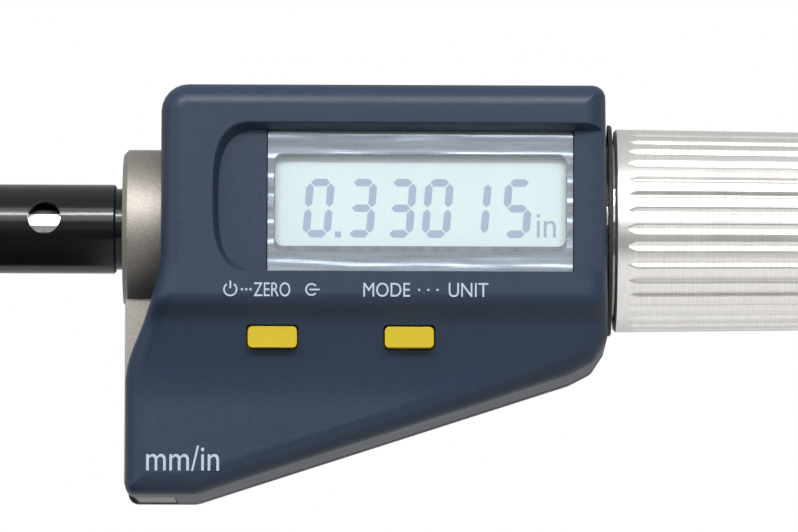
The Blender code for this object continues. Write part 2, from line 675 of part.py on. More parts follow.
# ---------------------------------------------------------------- frame
def frame_pieces():
    """The frame casting, its bush, and the stator and rotor of the encoder."""
    bore = TUBE_NECK_R + RUN
    collar_end = COLLAR_X + COLLAR_LENGTH
    frame = part("frame_bracket", turned([
        (COLLAR_X, bore), (COLLAR_X, COLLAR_R - COLLAR_CHAMFER),
        (COLLAR_X + COLLAR_CHAMFER, COLLAR_R), (COLLAR_X + COLLAR_FULL, COLLAR_R),
        (collar_end, COLLAR_R - COLLAR_TAPER), (collar_end, bore),
    ]), NICKEL)
    left = COLLAR_X + ARM_LEFT
    right = left + ARM_WIDTH
    arm = prism([
        (left, ARM_FOOT_Z + ARM_CORNER), (left + ARM_CORNER, ARM_FOOT_Z), (right, ARM_FOOT_Z),
        (right, -bore - ARM_ROOT), (left, -bore - ARM_ROOT),
    ], ARM_FRONT, ARM_BACK)
    boolean(frame, cutter("join_arm", arm), "UNION")
    bridge_end = COLLAR_X + HOUSING_RIGHT - WALL - CORNER_RIGHT
    bridge = box((right - OVER, ARM_FRONT, BRIDGE_BOTTOM), (bridge_end, BRIDGE_BACK, BRIDGE_TOP))
    boolean(frame, cutter("join_bridge", bridge), "UNION")
    boss = rod(BOSS_R, BOSS_X, BOSS_X + BOSS_LENGTH)
    boolean(frame, cutter("join_boss", boss), "UNION")
    foot = box(
        (BOSS_X, -BOSS_FOOT_HALF, BRIDGE_BOTTOM + BOSS_FOOT_RISE),
        (bridge_end, BOSS_FOOT_HALF, BOSS_FOOT_TOP),
    )
    boolean(frame, cutter("join_boss_foot", foot), "UNION")
    relief = box(
        (BOSS_X - OVER, BOARD_BACK - BOSS_RELIEF_DEPTH, -BOSS_R - OVER),
        (BOSS_X + BOSS_RELIEF, BOARD_BACK + SEAT, BOSS_R + OVER),
    )
    boolean(frame, cutter("cut_boss_relief", relief))
    sleeve_hole = rod(SLEEVE_R + RUN, BOSS_X - OVER, BOSS_X + BOSS_LENGTH + OVER)
    boolean(frame, cutter("cut_sleeve_hole", sleeve_hole))

    holes = pegs(FRAME_SCREWS, SCREW_R + RUN, ARM_FRONT - OVER, BRIDGE_BACK + OVER, SCREW_SIDES)
    for i, hole in enumerate(holes):
        boolean(frame, cutter(f"cut_bridge_hole_{i + 1}", hole))

    part("spindle_bush", turned([
        (BUSH_X, SPINDLE_R + RUN), (BUSH_X, TUBE_NECK_R), (collar_end, TUBE_NECK_R),
        (collar_end, SPINDLE_R + RUN),
    ]), BRASS)
    part("encoder_stator", turned([
        (STATOR_X, TUBE_NECK_R), (STATOR_X, STATOR_R), (STATOR_X + STATOR_THICK, STATOR_R),
        (STATOR_X + STATOR_THICK, TUBE_NECK_R),
    ]), BOARD_GREEN)
    rotor = part("encoder_rotor", turned([
        (ROTOR_X, SPINDLE_R + RUN), (ROTOR_X, STATOR_R), (ROTOR_X + STATOR_THICK, STATOR_R),
        (ROTOR_X + STATOR_THICK, ROTOR_HUB_R), (ROTOR_END, ROTOR_HUB_R), (ROTOR_END, SPINDLE_R + RUN),
    ]), BOARD_GREEN)
    half = KEY_WIDTH / 2
    key_top = ROTOR_HUB_R - KEY_WALL
    notch = box((KEY_X - SEAT, -half - RUN, 0.0), (ROTOR_END + OVER, half + RUN, key_top + SEAT))
    boolean(rotor, cutter("cut_rotor_notch", notch))
    part("rotor_key", box(
        (KEY_X, -half, SPINDLE_R - KEY_DEPTH + RUN), (ROTOR_END, half, key_top)
    ), BRASS)


# ---------------------------------------------------------------- housing
def side_profile(points, front, back):
    """A side view closed above and below the housing, swept across its whole length."""
    high = HOUSING_TOP + MARGIN
    low = HOUSING_BOTTOM - MARGIN
    loop = [(front, high)] + points + [(points[-1][0], low), (back, low), (back, high)]
    return prism(loop, COLLAR_X - MARGIN, COLLAR_X + HOUSING_RIGHT + MARGIN, "X")


def front_profile(depth=0.0):
    """The side view of the cover's front: (y, z) points from the step's top to the sweep's end."""
    steps = 5
    heights = [STEP_FOOT + (SWEEP_END - STEP_FOOT) * i / steps for i in range(steps + 1)]
    return [(FRONT_UPPER + depth, STEP_TOP)] + [(front_surface(z) + depth, z) for z in heights]


def front_surface(z):
    """Depth of the cover's front at a height on the sweep of the lower block."""
    t = (z - STEP_FOOT) / (SWEEP_END - STEP_FOOT)
    return FRONT_LOWER + (FRONT_UPPER - FRONT_LOWER) * SWEEP_SHARE * (1 - t) ** 2


def recess_outline(grow=0.0):
    """The bay around the window: a bulging left side and straight top, right and bottom."""
    top = RECESS_TOP + grow
    bottom = RECESS_BOTTOM - grow
    middle = (top + bottom) / 2
    half = (top - bottom) / 2
    left = []
    steps = 10
    for i in range(steps + 1):
        angle = math.radians(90 + 180 * i / steps)
        x = RECESS_LEFT - grow + RECESS_SIDE * (1 + math.cos(angle)) ** 1.5
        left.append((x, middle + half * math.sin(angle)))
    return left + [(RECESS_RIGHT + grow, bottom), (RECESS_RIGHT + grow, top)]


def button_pocket():
    """Depth of the flat inner face around the buttons."""
    return front_surface(BUTTON_Z - BUTTON_HEIGHT / 2 - BUTTON_FLANGE) + BUTTON_WALL


def soften(item):
    """Round a shell's outer rim."""
    rim = item.modifiers.new("soft_rim", "BEVEL")
    rim.width = RIM
    rim.segments = 2
    rim.limit_method = "ANGLE"
    rim.angle_limit = math.radians(60.0)


def wide_box(front, back):
    """A box as wide and high as the housing with room to SPARE."""
    return box(
        (COLLAR_X - MARGIN, front, HOUSING_BOTTOM - MARGIN),
        (COLLAR_X + HOUSING_RIGHT + MARGIN, back, HOUSING_TOP + MARGIN),
    )


def pegs(places, radius, start, end, sides=SMALL_SIDES):
    """One cylinder along Y at each place."""
    return [rod(radius, start, end, "Y", (COLLAR_X + x, z), sides) for x, z in places]


def front_cover_piece():
    """The front shell with its recess, window opening, button holes and screw posts."""
    outline = housing_outline()
    cover = part(
        "front_cover", prism(shifted(outline), FRONT_UPPER - OVER, SEAM_Y + SPARE), COVER_PLASTIC
    )
    shape = side_profile(front_profile(), FRONT_UPPER, SEAM_Y + SPARE - OVER)
    boolean(cover, cutter("front_side_profile", shape), "INTERSECT")
    soften(cover)
    boolean(cover, cutter("cut_front_seam", wide_box(SEAM_Y, SEAM_Y + 2 * SPARE)))

    hollow = cutter("cut_front_hollow", prism(
        shifted(housing_outline(WALL)), FRONT_UPPER - OVER, SEAM_Y + SPARE
    ))
    shape = side_profile(front_profile(WALL), FRONT_UPPER + WALL, SEAM_Y + OVER)
    boolean(hollow, cutter("front_hollow_profile", shape), "INTERSECT")
    display_wall = box(
        (COLLAR_X + RECESS_LEFT - DISPLAY_WALL_LEFT, FRONT_UPPER, RECESS_BOTTOM - DISPLAY_WALL_BELOW),
        (COLLAR_X + HOUSING_RIGHT, COVER_INNER, RECESS_TOP + DISPLAY_WALL_ABOVE),
    )
    boolean(hollow, cutter("display_wall", display_wall))
    for i, post in enumerate(pegs(SCREW_PLACES, POST_R, FRONT_UPPER, SEAM_Y + 2 * MM)):
        boolean(hollow, cutter(f"front_post_{i + 1}", post))
    for i, post in enumerate(pegs(BOARD_SCREWS, SMALL_POST_R, FRONT_UPPER, BOARD_FRONT - SEAT)):
        boolean(hollow, cutter(f"board_post_{i + 1}", post))
    for i, post in enumerate(pegs(FRAME_SCREWS, SMALL_POST_R, FRONT_UPPER, ARM_FRONT - SEAT)):
        boolean(hollow, cutter(f"frame_post_{i + 1}", post))
    boolean(cover, hollow)
    deep = SEAM_Y - SCREW_GRIP - 2 * PILOT_ROOM
    for i, pilot in enumerate(pegs(SCREW_PLACES, SCREW_R + RUN, deep, SEAM_Y + OVER, SCREW_SIDES)):
        boolean(cover, cutter(f"cut_pilot_{i + 1}", pilot))
    deep = BOARD_FRONT - BOARD_SCREW_GRIP - PILOT_ROOM
    small = pegs(BOARD_SCREWS, BOARD_SCREW_R + RUN, deep, BOARD_FRONT + OVER, SCREW_SIDES)
    for i, pilot in enumerate(small):
        boolean(cover, cutter(f"cut_board_pilot_{i + 1}", pilot))
    deep = ARM_FRONT - FRAME_SCREW_GRIP - PILOT_ROOM
    for i, pilot in enumerate(pegs(FRAME_SCREWS, SCREW_R + RUN, deep, ARM_FRONT + OVER, SCREW_SIDES)):
        boolean(cover, cutter(f"cut_frame_pilot_{i + 1}", pilot))

    boolean(cover, cutter("cut_recess", prism(shifted(recess_outline()), FRONT_UPPER - OVER, RECESS_FLOOR)))
    pocket = box(
        (COLLAR_X + WINDOW_LEFT - SEAT, FRONT_UPPER - OVER, WINDOW_BOTTOM - SEAT),
        (COLLAR_X + WINDOW_RIGHT + SEAT, MASK_BACK + SEAT, WINDOW_TOP + SEAT),
    )
    boolean(cover, cutter("cut_window_pocket", pocket))
    view = box(
        (COLLAR_X + LCD_LEFT, FRONT_UPPER - OVER, LCD_BOTTOM),
        (COLLAR_X + LCD_RIGHT, COVER_INNER + OVER, LCD_TOP),
    )
    boolean(cover, cutter("cut_view", view))
    for i, left in enumerate(BUTTON_LEFTS):
        outline = rounded_box(
            left - BUTTON_GAP, BUTTON_Z - BUTTON_HEIGHT / 2 - BUTTON_GAP,
            left + BUTTON_WIDTH + BUTTON_GAP, BUTTON_Z + BUTTON_HEIGHT / 2 + BUTTON_GAP, BUTTON_CORNER, 2,
        )
        hole = prism(shifted(outline), FRONT_UPPER - OVER, FRONT_LOWER + 3 * MM)
        boolean(cover, cutter(f"cut_button_{i + 1}", hole))
        reach = BUTTON_FLANGE + 3 * SEAT
        pocket = box(
            (COLLAR_X + left - reach, button_pocket(), BUTTON_Z - BUTTON_HEIGHT / 2 - reach),
            (COLLAR_X + left + BUTTON_WIDTH + reach, BOARD_FRONT, BUTTON_Z + BUTTON_HEIGHT / 2 + reach),
        )
        boolean(cover, cutter(f"cut_button_pocket_{i + 1}", pocket))
    side_openings(cover, "front")


def side_openings(cover, label):
    """Openings in a shell's side walls for the collar, the arm and the sleeve boss."""
    back = SEAM_Y + OVER
    collar_right = COLLAR_X + COLLAR_LENGTH + SEAT
    wall_left = COLLAR_X + HOUSING_RIGHT - 3 * MM
    wall_right = COLLAR_X + HOUSING_RIGHT + 2 * MM
    boolean(cover, cutter(f"cut_collar_{label}", rod(COLLAR_R + SEAT, COLLAR_X - OVER, collar_right)))
    boolean(cover, cutter(f"cut_boss_{label}", rod(BOSS_R + SEAT, wall_left, wall_right)))
    arm = box(
        (COLLAR_X - OVER, ARM_FRONT - SEAT, HOUSING_BOTTOM - OVER),
        (COLLAR_X + ARM_LEFT + ARM_WIDTH + SEAT, ARM_BACK + SEAT, 0.0),
    )
    boolean(cover, cutter(f"cut_arm_{label}", arm))
    if label == "front":
        half = COLLAR_R + SEAT
        slot = box((COLLAR_X - OVER, 0.0, -half), (collar_right, back, half))
        boolean(cover, cutter("cut_collar_slot", slot))
        half = BOSS_R + SEAT
        slot = box((wall_left, 0.0, -half), (wall_right, back, half))
        boolean(cover, cutter("cut_boss_slot", slot))


def rear_profile(depth):
    """The side view of the rear cover's back, from the lower block up, as (y, z) points."""
    return [
        (BACK_UPPER - depth, BACK_STEP_Z + BACK_STEP_LEAN + depth * 0.5),
        (BACK_LOWER - depth, BACK_STEP_Z - BACK_STEP_LEAN + depth * 0.5),
    ]


def rear_cover_piece():
    """The rear shell with its battery well and screw holes."""
    outline = housing_outline()
    cover = part("rear_cover", prism(shifted(outline), REAR_START - SPARE, BACK_UPPER + OVER), REAR_PLASTIC)
    shape = side_profile(rear_profile(0.0), BACK_UPPER, REAR_START - SPARE + OVER)
    boolean(cover, cutter("rear_side_profile", shape), "INTERSECT")
    soften(cover)
    boolean(cover, cutter("cut_rear_seam", wide_box(REAR_START - 2 * SPARE, REAR_START)))

    hollow = cutter("cut_rear_hollow", prism(
        shifted(housing_outline(WALL)), REAR_START - SPARE, BACK_UPPER + OVER
    ))
    shape = side_profile(rear_profile(WALL), BACK_UPPER - WALL, REAR_START - OVER)
    boolean(hollow, cutter("rear_hollow_profile", shape), "INTERSECT")
    for i, post in enumerate(pegs(SCREW_PLACES, POST_R, REAR_START - OVER, BACK_UPPER)):
        boolean(hollow, cutter(f"rear_post_{i + 1}", post))
    place = (COLLAR_X + BATTERY_X, BATTERY_Z)
    well = rod(CAP_R + 2 * SEAT + CAP_WELL_WALL, BATTERY_FRONT, BACK_UPPER, "Y", place)
    boolean(hollow, cutter("battery_well", well))
    boolean(cover, hollow)
    for i, (x, z) in enumerate(SCREW_PLACES):
        hole = rod(SCREW_R + RUN, REAR_START - OVER, BACK_UPPER + OVER, "Y", (COLLAR_X + x, z), SCREW_SIDES)
        boolean(cover, cutter(f"cut_screw_{i + 1}", hole))
        sink = rod(
            SCREW_HEAD + SEAT, screw_face(z) - SCREW_SINK, BACK_UPPER + OVER, "Y", (COLLAR_X + x, z),
            SMALL_SIDES,
        )
        boolean(cover, cutter(f"cut_screw_sink_{i + 1}", sink))
    bore = rod(BATTERY_R + SEAT, BATTERY_FRONT - OVER, BACK_UPPER + OVER, "Y", place)
    boolean(cover, cutter("cut_battery_bore", bore))
    groove = rod(SEAL_GROOVE_R, BATTERY_BACK, BACK_UPPER + OVER, "Y", place)
    boolean(cover, cutter("cut_seal_groove", groove))
    seat = rod(CAP_R + SEAT, CAP_SEAT, BACK_UPPER + OVER, "Y", place)
    boolean(cover, cutter("cut_cap_seat", seat))
    side_openings(cover, "rear")


def screw_face(z):
    """Depth of the rear cover's back at a screw's height."""
    return BACK_UPPER if z > BACK_STEP_Z else BACK_LOWER


def gasket_pieces():
    """The seal strips between the two shells, above and below the openings for the frame."""
    front = SEAM_Y + SEAT
    right = COLLAR_X + HOUSING_RIGHT + MARGIN
    limits = {"upper": (0.0, HOUSING_TOP + OVER), "lower": (HOUSING_BOTTOM - OVER, 0.0)}
    for label, (low, high) in limits.items():
        strip = part(
            f"cover_gasket_{label}",
            prism(shifted(housing_outline(GASKET_INSET)), front, front + GASKET), RUBBER,
        )
        middle = prism(shifted(housing_outline(WALL - GASKET_INSET)), front - OVER, front + OVER)
        boolean(strip, cutter(f"cut_gasket_{label}_middle", middle))
        keep = box((COLLAR_X - OVER, front - OVER, low), (right, front + OVER, high))
        boolean(strip, cutter(f"keep_gasket_{label}", keep), "INTERSECT")
        gap = box(
            (COLLAR_X - OVER, front - OVER, HOUSING_BOTTOM - OVER if label == "lower" else -OVER),
            (COLLAR_X + ARM_LEFT + ARM_WIDTH + SEAT, front + OVER, COLLAR_R + SEAT),
        )
        boolean(strip, cutter(f"cut_gasket_{label}_left", gap))
        gap = box(
            (COLLAR_X - OVER, front - OVER, -COLLAR_R - SEAT),
            (COLLAR_X + COLLAR_LENGTH + SEAT, front + OVER, COLLAR_R + SEAT),
        )
        boolean(strip, cutter(f"cut_gasket_{label}_collar", gap))
        gap = box(
            (COLLAR_X + HOUSING_RIGHT - WALL - OVER, front - OVER, -BOSS_R - SEAT),
            (right, front + OVER, BOSS_R + SEAT),
        )
        boolean(strip, cutter(f"cut_gasket_{label}_right", gap))


# ---------------------------------------------------------------- display and electronics
def frame_prism(outer, inner, front, back, name, look):
    """A flat rectangular frame between two depths; outer and inner are left, bottom, right, top."""
    made = part(name, prism(shifted(rounded_box(*outer, WINDOW_CORNER, 2)), front, back), look)
    hole = box((COLLAR_X + inner[0], front - OVER, inner[1]), (COLLAR_X + inner[2], back + OVER, inner[3]))
    boolean(made, cutter("cut_" + name, hole))
    return made


def display_pieces():
    """Window, mask, glass, holder, contact strips and circuit board."""
    window = (WINDOW_LEFT, WINDOW_BOTTOM, WINDOW_RIGHT, WINDOW_TOP)
    view = (LCD_LEFT, LCD_BOTTOM, LCD_RIGHT, LCD_TOP)
    glass = (LCD_LEFT - LCD_BORDER, LCD_BOTTOM - LCD_BORDER, LCD_RIGHT + LCD_BORDER, LCD_TOP + LCD_BORDER)
    reach = RUN + HOLDER_WALL
    around = (glass[0] - reach, glass[1] - reach, glass[2] + reach, glass[3] + reach)
    inside = (glass[0] - RUN, glass[1] - RUN, glass[2] + RUN, glass[3] + RUN)
    part("display_window", prism(
        shifted(rounded_box(*window, WINDOW_CORNER, 2)), WINDOW_BACK - WINDOW_THICK, WINDOW_BACK
    ), CLEAR)
    frame_prism(window, view, WINDOW_BACK + SEAT, MASK_BACK, "display_mask", FOIL)
    part("lcd_glass", box(
        (COLLAR_X + glass[0], LCD_FRONT, glass[1]), (COLLAR_X + glass[2], LCD_BACK, glass[3])
    ), LCD_GREY)
    frame_prism(around, inside, LCD_FRONT, ZEBRA_BACK, "lcd_holder", WHITE_PLASTIC)
    strips = {"upper": glass[3] - ZEBRA_HEIGHT, "lower": glass[1]}
    for label, low in strips.items():
        part(f"zebra_strip_{label}", box(
            (COLLAR_X + glass[0] + ZEBRA_INSET, LCD_BACK + SEAT, low),
            (COLLAR_X + glass[2] - ZEBRA_INSET, ZEBRA_BACK, low + ZEBRA_HEIGHT),
        ), RUBBER)
    top = around[3]
    board = part("circuit_board", prism(shifted([
        (BOARD_LEFT, top), (BOARD_LEFT, BOARD_FOOT_TOP), (BOARD_FOOT_LEFT, BOARD_FOOT_TOP),
        (BOARD_FOOT_LEFT, BOARD_FOOT_Z), (BOARD_FOOT_RIGHT, BOARD_FOOT_Z),
        (BOARD_FOOT_RIGHT, BOARD_FOOT_TOP), (BOARD_RIGHT, BOARD_FOOT_TOP), (BOARD_RIGHT, top),
    ]), BOARD_FRONT, BOARD_BACK), BOARD_GREEN)
    radius = BOARD_SCREW_R + RUN
    holes = pegs(BOARD_SCREWS, radius, BOARD_FRONT - OVER, BOARD_BACK + OVER, SCREW_SIDES)
    for i, hole in enumerate(holes):
        boolean(board, cutter(f"cut_board_hole_{i + 1}", hole))
    pass_hole, = pegs(FRAME_SCREWS[:1], SMALL_POST_R + 3 * SEAT, BOARD_FRONT - OVER, BOARD_BACK + OVER)
    boolean(board, cutter("cut_board_pass", pass_hole))


def button_pieces():
    """The two push buttons and the switches that they press."""
    flange_front = button_pocket() + SEAT
    flange_back = flange_front + BUTTON_FLANGE_THICK
    switch_front = BOARD_FRONT - SEAT - SWITCH_THICK
    face = front_surface(BUTTON_Z) - BUTTON_PROUD
    for i, left in enumerate(BUTTON_LEFTS):
        low = BUTTON_Z - BUTTON_HEIGHT / 2
        high = BUTTON_Z + BUTTON_HEIGHT / 2
        right = left + BUTTON_WIDTH
        centre = (COLLAR_X + (left + right) / 2, BUTTON_Z)
        button = part(f"button_{i + 1}", prism(
            shifted(rounded_box(left, low, right, high, BUTTON_CORNER, 2)), face, flange_back - JOIN
        ), YELLOW)
        flange = box(
            (COLLAR_X + left - BUTTON_FLANGE, flange_front, low - BUTTON_FLANGE),
            (COLLAR_X + right + BUTTON_FLANGE, flange_back, high + BUTTON_FLANGE),
        )
        boolean(button, cutter(f"join_flange_{i + 1}", flange), "UNION")
        stem_end = switch_front - BUTTON_TRAVEL - SEAT / 2
        stem = rod(BUTTON_STEM_R, flange_front + JOIN, stem_end, "Y", centre, 16)
        boolean(button, cutter(f"join_stem_{i + 1}", stem), "UNION")
        half = SWITCH_SIZE / 2
        part(f"button_switch_{i + 1}", box(
            (centre[0] - half, switch_front, BUTTON_Z - half),
            (centre[0] + half, switch_front + SWITCH_THICK, BUTTON_Z + half),
        ), METAL_CAN)


def screw(name, x, z, head_back, tip, radius=SCREW_R, head=SCREW_HEAD, thick=SCREW_HEAD_THICK):
    """A pan head screw along Y, its head towards +Y, with a slot."""
    place = (COLLAR_X + x, z)
    body = part(name, rod(radius, tip, head_back - thick + JOIN, "Y", place, SCREW_SIDES), STEEL)
    cap = rod(head, head_back - thick, head_back, "Y", place, SMALL_SIDES)
    boolean(body, cutter("join_head_" + name, cap), "UNION")
    slot = box(
        (COLLAR_X + x - head - OVER, head_back - thick * 0.45, z - head * 0.13),
        (COLLAR_X + x + head + OVER, head_back + OVER, z + head * 0.13),
    )
    boolean(body, cutter("cut_slot_" + name, slot))


def fastener_pieces():
    """Screws of the covers, the board and the frame."""
    for i, (x, z) in enumerate(SCREW_PLACES):
        head_back = screw_face(z) - SCREW_SINK + SEAT + SCREW_HEAD_THICK
        screw(f"cover_screw_{i + 1}", x, z, head_back, SEAM_Y - SCREW_GRIP)
    for i, (x, z) in enumerate(BOARD_SCREWS):
        head_back = BOARD_BACK + SEAT + BOARD_SCREW_HEAD_THICK
        screw(
            f"board_screw_{i + 1}", x, z, head_back, BOARD_FRONT - BOARD_SCREW_GRIP, BOARD_SCREW_R,
            BOARD_SCREW_HEAD, BOARD_SCREW_HEAD_THICK,
        )
    for i, (x, z) in enumerate(FRAME_SCREWS):
        head_back = BRIDGE_BACK + SEAT + SCREW_HEAD_THICK
        screw(f"frame_screw_{i + 1}", x, z, head_back, ARM_FRONT - FRAME_SCREW_GRIP)


def battery_pieces():
    """The button cell with its two contacts, its cap and the cap's seal ring."""
    place = (COLLAR_X + BATTERY_X, BATTERY_Z)
    part("battery", rod(BATTERY_R, BATTERY_FRONT, BATTERY_BACK, "Y", place), CELL_STEEL)
    contact_r = BATTERY_R * CONTACT_SHARE
    part("battery_contact_front", rod(
        contact_r, BATTERY_FRONT - SEAT - CONTACT_THICK, BATTERY_FRONT - SEAT, "Y", place, SMALL_SIDES
    ), BRASS)
    part("battery_contact_rear", rod(
        contact_r, BATTERY_BACK + SEAT, BATTERY_BACK + SEAT + CONTACT_THICK, "Y", place, SMALL_SIDES
    ), BRASS)
    plug_front = BATTERY_BACK + 2 * SEAT + CONTACT_THICK
    cap_front = CAP_SEAT + SEAT
    cap = part("battery_cap", rod(CAP_R, cap_front, CAP_FACE, "Y", place), REAR_PLASTIC)
    plug = rod(CAP_PLUG_R, plug_front, cap_front + JOIN, "Y", place)
    boolean(cap, cutter("join_cap_plug", plug), "UNION")
    slot = box(
        (place[0] - CAP_R * COIN_SLOT_SHARE, CAP_FACE - COIN_SLOT_DEPTH, place[1] - COIN_SLOT_HALF),
        (place[0] + CAP_R * COIN_SLOT_SHARE, CAP_FACE + OVER, place[1] + COIN_SLOT_HALF),
    )
    boolean(cap, cutter("cut_coin_slot", slot))
    ring = bmesh.new()
    bmesh.ops.create_circle(ring, cap_ends=False, segments=6, radius=SEAL_WIRE_R)
    bmesh.ops.transform(
        ring, matrix=Matrix.Translation(((SEAL_GROOVE_R + CAP_PLUG_R) / 2, 0, 0)), verts=ring.verts
    )
    bmesh.ops.spin(
        ring, geom=ring.verts[:] + ring.edges[:], cent=(0, 0, 0), axis=(0, 1, 0), angle=2 * math.pi,
        steps=24, use_merge=True,
    )
    middle = (BATTERY_BACK + CAP_SEAT) / 2
    bmesh.ops.translate(ring, vec=(place[0], middle, place[1]), verts=ring.verts)
    bmesh.ops.recalc_face_normals(ring, faces=ring.faces)
    part("battery_seal_ring", ring, RUBBER)


# ---------------------------------------------------------------- spindle, sleeves and thimble
def spindle_pieces(spindle_start):
    """Spindle, sleeves and adjusting nut."""
    tail_start = COLLAR_X + SPINDLE_END - TAIL_LENGTH
    spindle = part("spindle", turned([
        (spindle_start, 0.0), (spindle_start, SPINDLE_NOSE_R), (spindle_start + SPINDLE_NOSE, SPINDLE_NOSE_R),
        (spindle_start + SPINDLE_NOSE, SPINDLE_R), (tail_start, SPINDLE_R), (tail_start, 0.0),
    ]), STEEL)
    tail = rod(TAIL_R, tail_start - OVER, COLLAR_X + SPINDLE_END, sides=6)
    boolean(spindle, cutter("join_tail", tail), "UNION")
    half = KEY_WIDTH / 2 + RUN
    groove = box(
        (KEY_X - FEED_BACK - KEY_END_GAP, -half, SPINDLE_R - KEY_DEPTH),
        (ROTOR_END + FEED_AHEAD + KEY_END_GAP, half, SPINDLE_R + OVER),
    )
    boolean(spindle, cutter("cut_key_groove", groove))
    bore = SPINDLE_R + RUN
    start = COLLAR_X + SLEEVE_START
    end = COLLAR_X + SLEEVE_END
    part("inner_sleeve", turned([
        (start, bore), (start, SLEEVE_R), (end - SLEEVE_CHAMFER, SLEEVE_R),
        (end, SLEEVE_R - SLEEVE_CHAMFER), (end, bore),
    ]), STEEL)
    start = COLLAR_X + RING_START
    end = COLLAR_X + OUTER_SLEEVE_END
    part("outer_sleeve", turned([
        (start, SLEEVE_R + RUN), (start, OUTER_SLEEVE_R), (end, OUTER_SLEEVE_R), (end, SLEEVE_R + RUN),
    ]), STEEL)
    start = end + SEAT
    part("adjusting_nut", turned([
        (start, SLEEVE_R + RUN), (start, NUT_R), (start + NUT_LENGTH - NUT_CHAMFER, NUT_R),
        (start + NUT_LENGTH, NUT_R - NUT_CHAMFER), (start + NUT_LENGTH, SLEEVE_R + RUN),
    ]), BRASS)
    start = COLLAR_X + RING_START
    bore = OUTER_SLEEVE_R + SEAT
    part("thimble_seal_ring", turned([
        (start, bore), (start, RING_R), (start + RING_LENGTH / 2, RING_R),
        (start + RING_LENGTH, RING_R - RING_CHAMFER), (start + RING_LENGTH, bore),
    ]), RUBBER)


def fluted(start, end, first_r, last_r, flutes, plain, run_out, width, depth):
    """A tapered round body with narrow V grooves between two plain bands."""
    shape = rod(first_r, start, end, sides=flutes * 4, end_radius=last_r)
    cuts = (start + plain, start + plain + run_out, end - plain - run_out, end - plain)
    for x in cuts:
        bmesh.ops.bisect_plane(
            shape, geom=shape.verts[:] + shape.edges[:] + shape.faces[:], plane_co=(x, 0, 0),
            plane_no=(1, 0, 0), dist=1e-7,
        )
    step = 2 * math.pi / (flutes * 4)
    for corner in shape.verts:
        radius = math.hypot(corner.co.y, corner.co.z)
        turn = math.atan2(corner.co.z, corner.co.y)
        place = round(turn / step - 2) % 4
        inside = start + plain + run_out / 2 < corner.co.x < end - plain - run_out / 2
        if place == 0 and inside:
            radius -= depth
        if place in (1, 3):
            side = 1 if place == 1 else -1
            turn += side * (width / (2 * first_r) - step)
        corner.co.y = radius * math.cos(turn)
        corner.co.z = radius * math.sin(turn)
    return shape


def thimble_pieces():
    """Thimble, driver and the parts of the ratchet stop."""
    thimble = part("thimble", fluted(
        THIMBLE_X, THIMBLE_END, THIMBLE_R, THIMBLE_END_R, FLUTES, THIMBLE_PLAIN, FLUTE_RUN_OUT,
        FLUTE_WIDTH, FLUTE_DEPTH,
    ), SATIN_CHROME)
    wall_x = THIMBLE_END - THIMBLE_END_WALL
    boolean(thimble, cutter("cut_thimble_bore", rod(THIMBLE_BORE_R, THIMBLE_X - OVER, wall_x)))
    boolean(thimble, cutter("cut_thimble_end", rod(STEM_R + RUN, wall_x - OVER, THIMBLE_END + OVER)))
    start = COLLAR_X + DRIVER_START
    driver = part("thimble_driver", rod(THIMBLE_BORE_R - RUN, start, start + DRIVER_LENGTH), BRASS)
    socket = rod(TAIL_R + RUN * 1.3, start - OVER, start + DRIVER_LENGTH + OVER, sides=6)
    boolean(driver, cutter("cut_driver_socket", socket))

    stem_end = KNOB_X + KNOB_FLOOR + STEM_PAST_FLOOR
    hole_r = SCREW_R + RUN
    hole_x = stem_end - STEM_HOLE
    flange_x = wall_x - SEAT - STEM_FLANGE_THICK
    part("ratchet_stem", turned([
        (flange_x, 0.0), (flange_x, STEM_R + STEM_FLANGE),
        (wall_x - SEAT, STEM_R + STEM_FLANGE), (wall_x - SEAT, STEM_R), (stem_end, STEM_R), (stem_end, hole_r),
        (hole_x, hole_r), (hole_x, 0.0),
    ], SMALL_SIDES), STEEL)
    knob = part("ratchet_knob", fluted(
        KNOB_X, KNOB_X + KNOB_LENGTH, KNOB_R, KNOB_R, KNOB_RIBS, KNOB_PLAIN, KNOB_RUN_OUT,
        KNOB_GROOVE_WIDTH, KNOB_GROOVE_DEPTH,
    ), SATIN_CHROME)
    boolean(knob, cutter("cut_knob_bore", rod(STEM_R + RUN, KNOB_X - OVER, KNOB_X + KNOB_FLOOR + OVER)))
    cavity = rod(KNOB_BORE_R, KNOB_X + KNOB_FLOOR, KNOB_X + KNOB_LENGTH + OVER)
    boolean(knob, cutter("cut_knob_cavity", cavity))
    washer_x = stem_end + SEAT
    coil(
        "ratchet_spring", KNOB_X + KNOB_FLOOR + RATCHET_WIRE + SEAT, washer_x - RATCHET_WIRE - SEAT,
        RATCHET_COIL_R, RATCHET_WIRE, RATCHET_TURNS, SPRING_STEEL,
    )
    washer_end = washer_x + WASHER_THICK
    part("ratchet_washer", turned([
        (washer_x, hole_r), (washer_x, KNOB_BORE_R - RUN * 2), (washer_end, KNOB_BORE_R - RUN * 2),
        (washer_end, hole_r),
    ]), STEEL)
    head_x = washer_end + SEAT
    head_end = head_x + SCREW_HEAD_THICK
    bolt = part("ratchet_screw", turned([
        (hole_x + SEAT, 0.0), (hole_x + SEAT, SCREW_R), (head_x, SCREW_R), (head_x, SCREW_HEAD_R),
        (head_end - SCREW_EDGE, SCREW_HEAD_R), (head_end, SCREW_HEAD_R - SCREW_EDGE), (head_end, 0.0),
    ], SMALL_SIDES), STEEL)
    slot = box(
        (head_end - SCREW_SLOT_DEPTH, -SCREW_SLOT_HALF, -SCREW_HEAD_R - OVER),
        (head_end + OVER, SCREW_SLOT_HALF, SCREW_HEAD_R + OVER),
    )
    boolean(bolt, cutter("cut_ratchet_slot", slot))


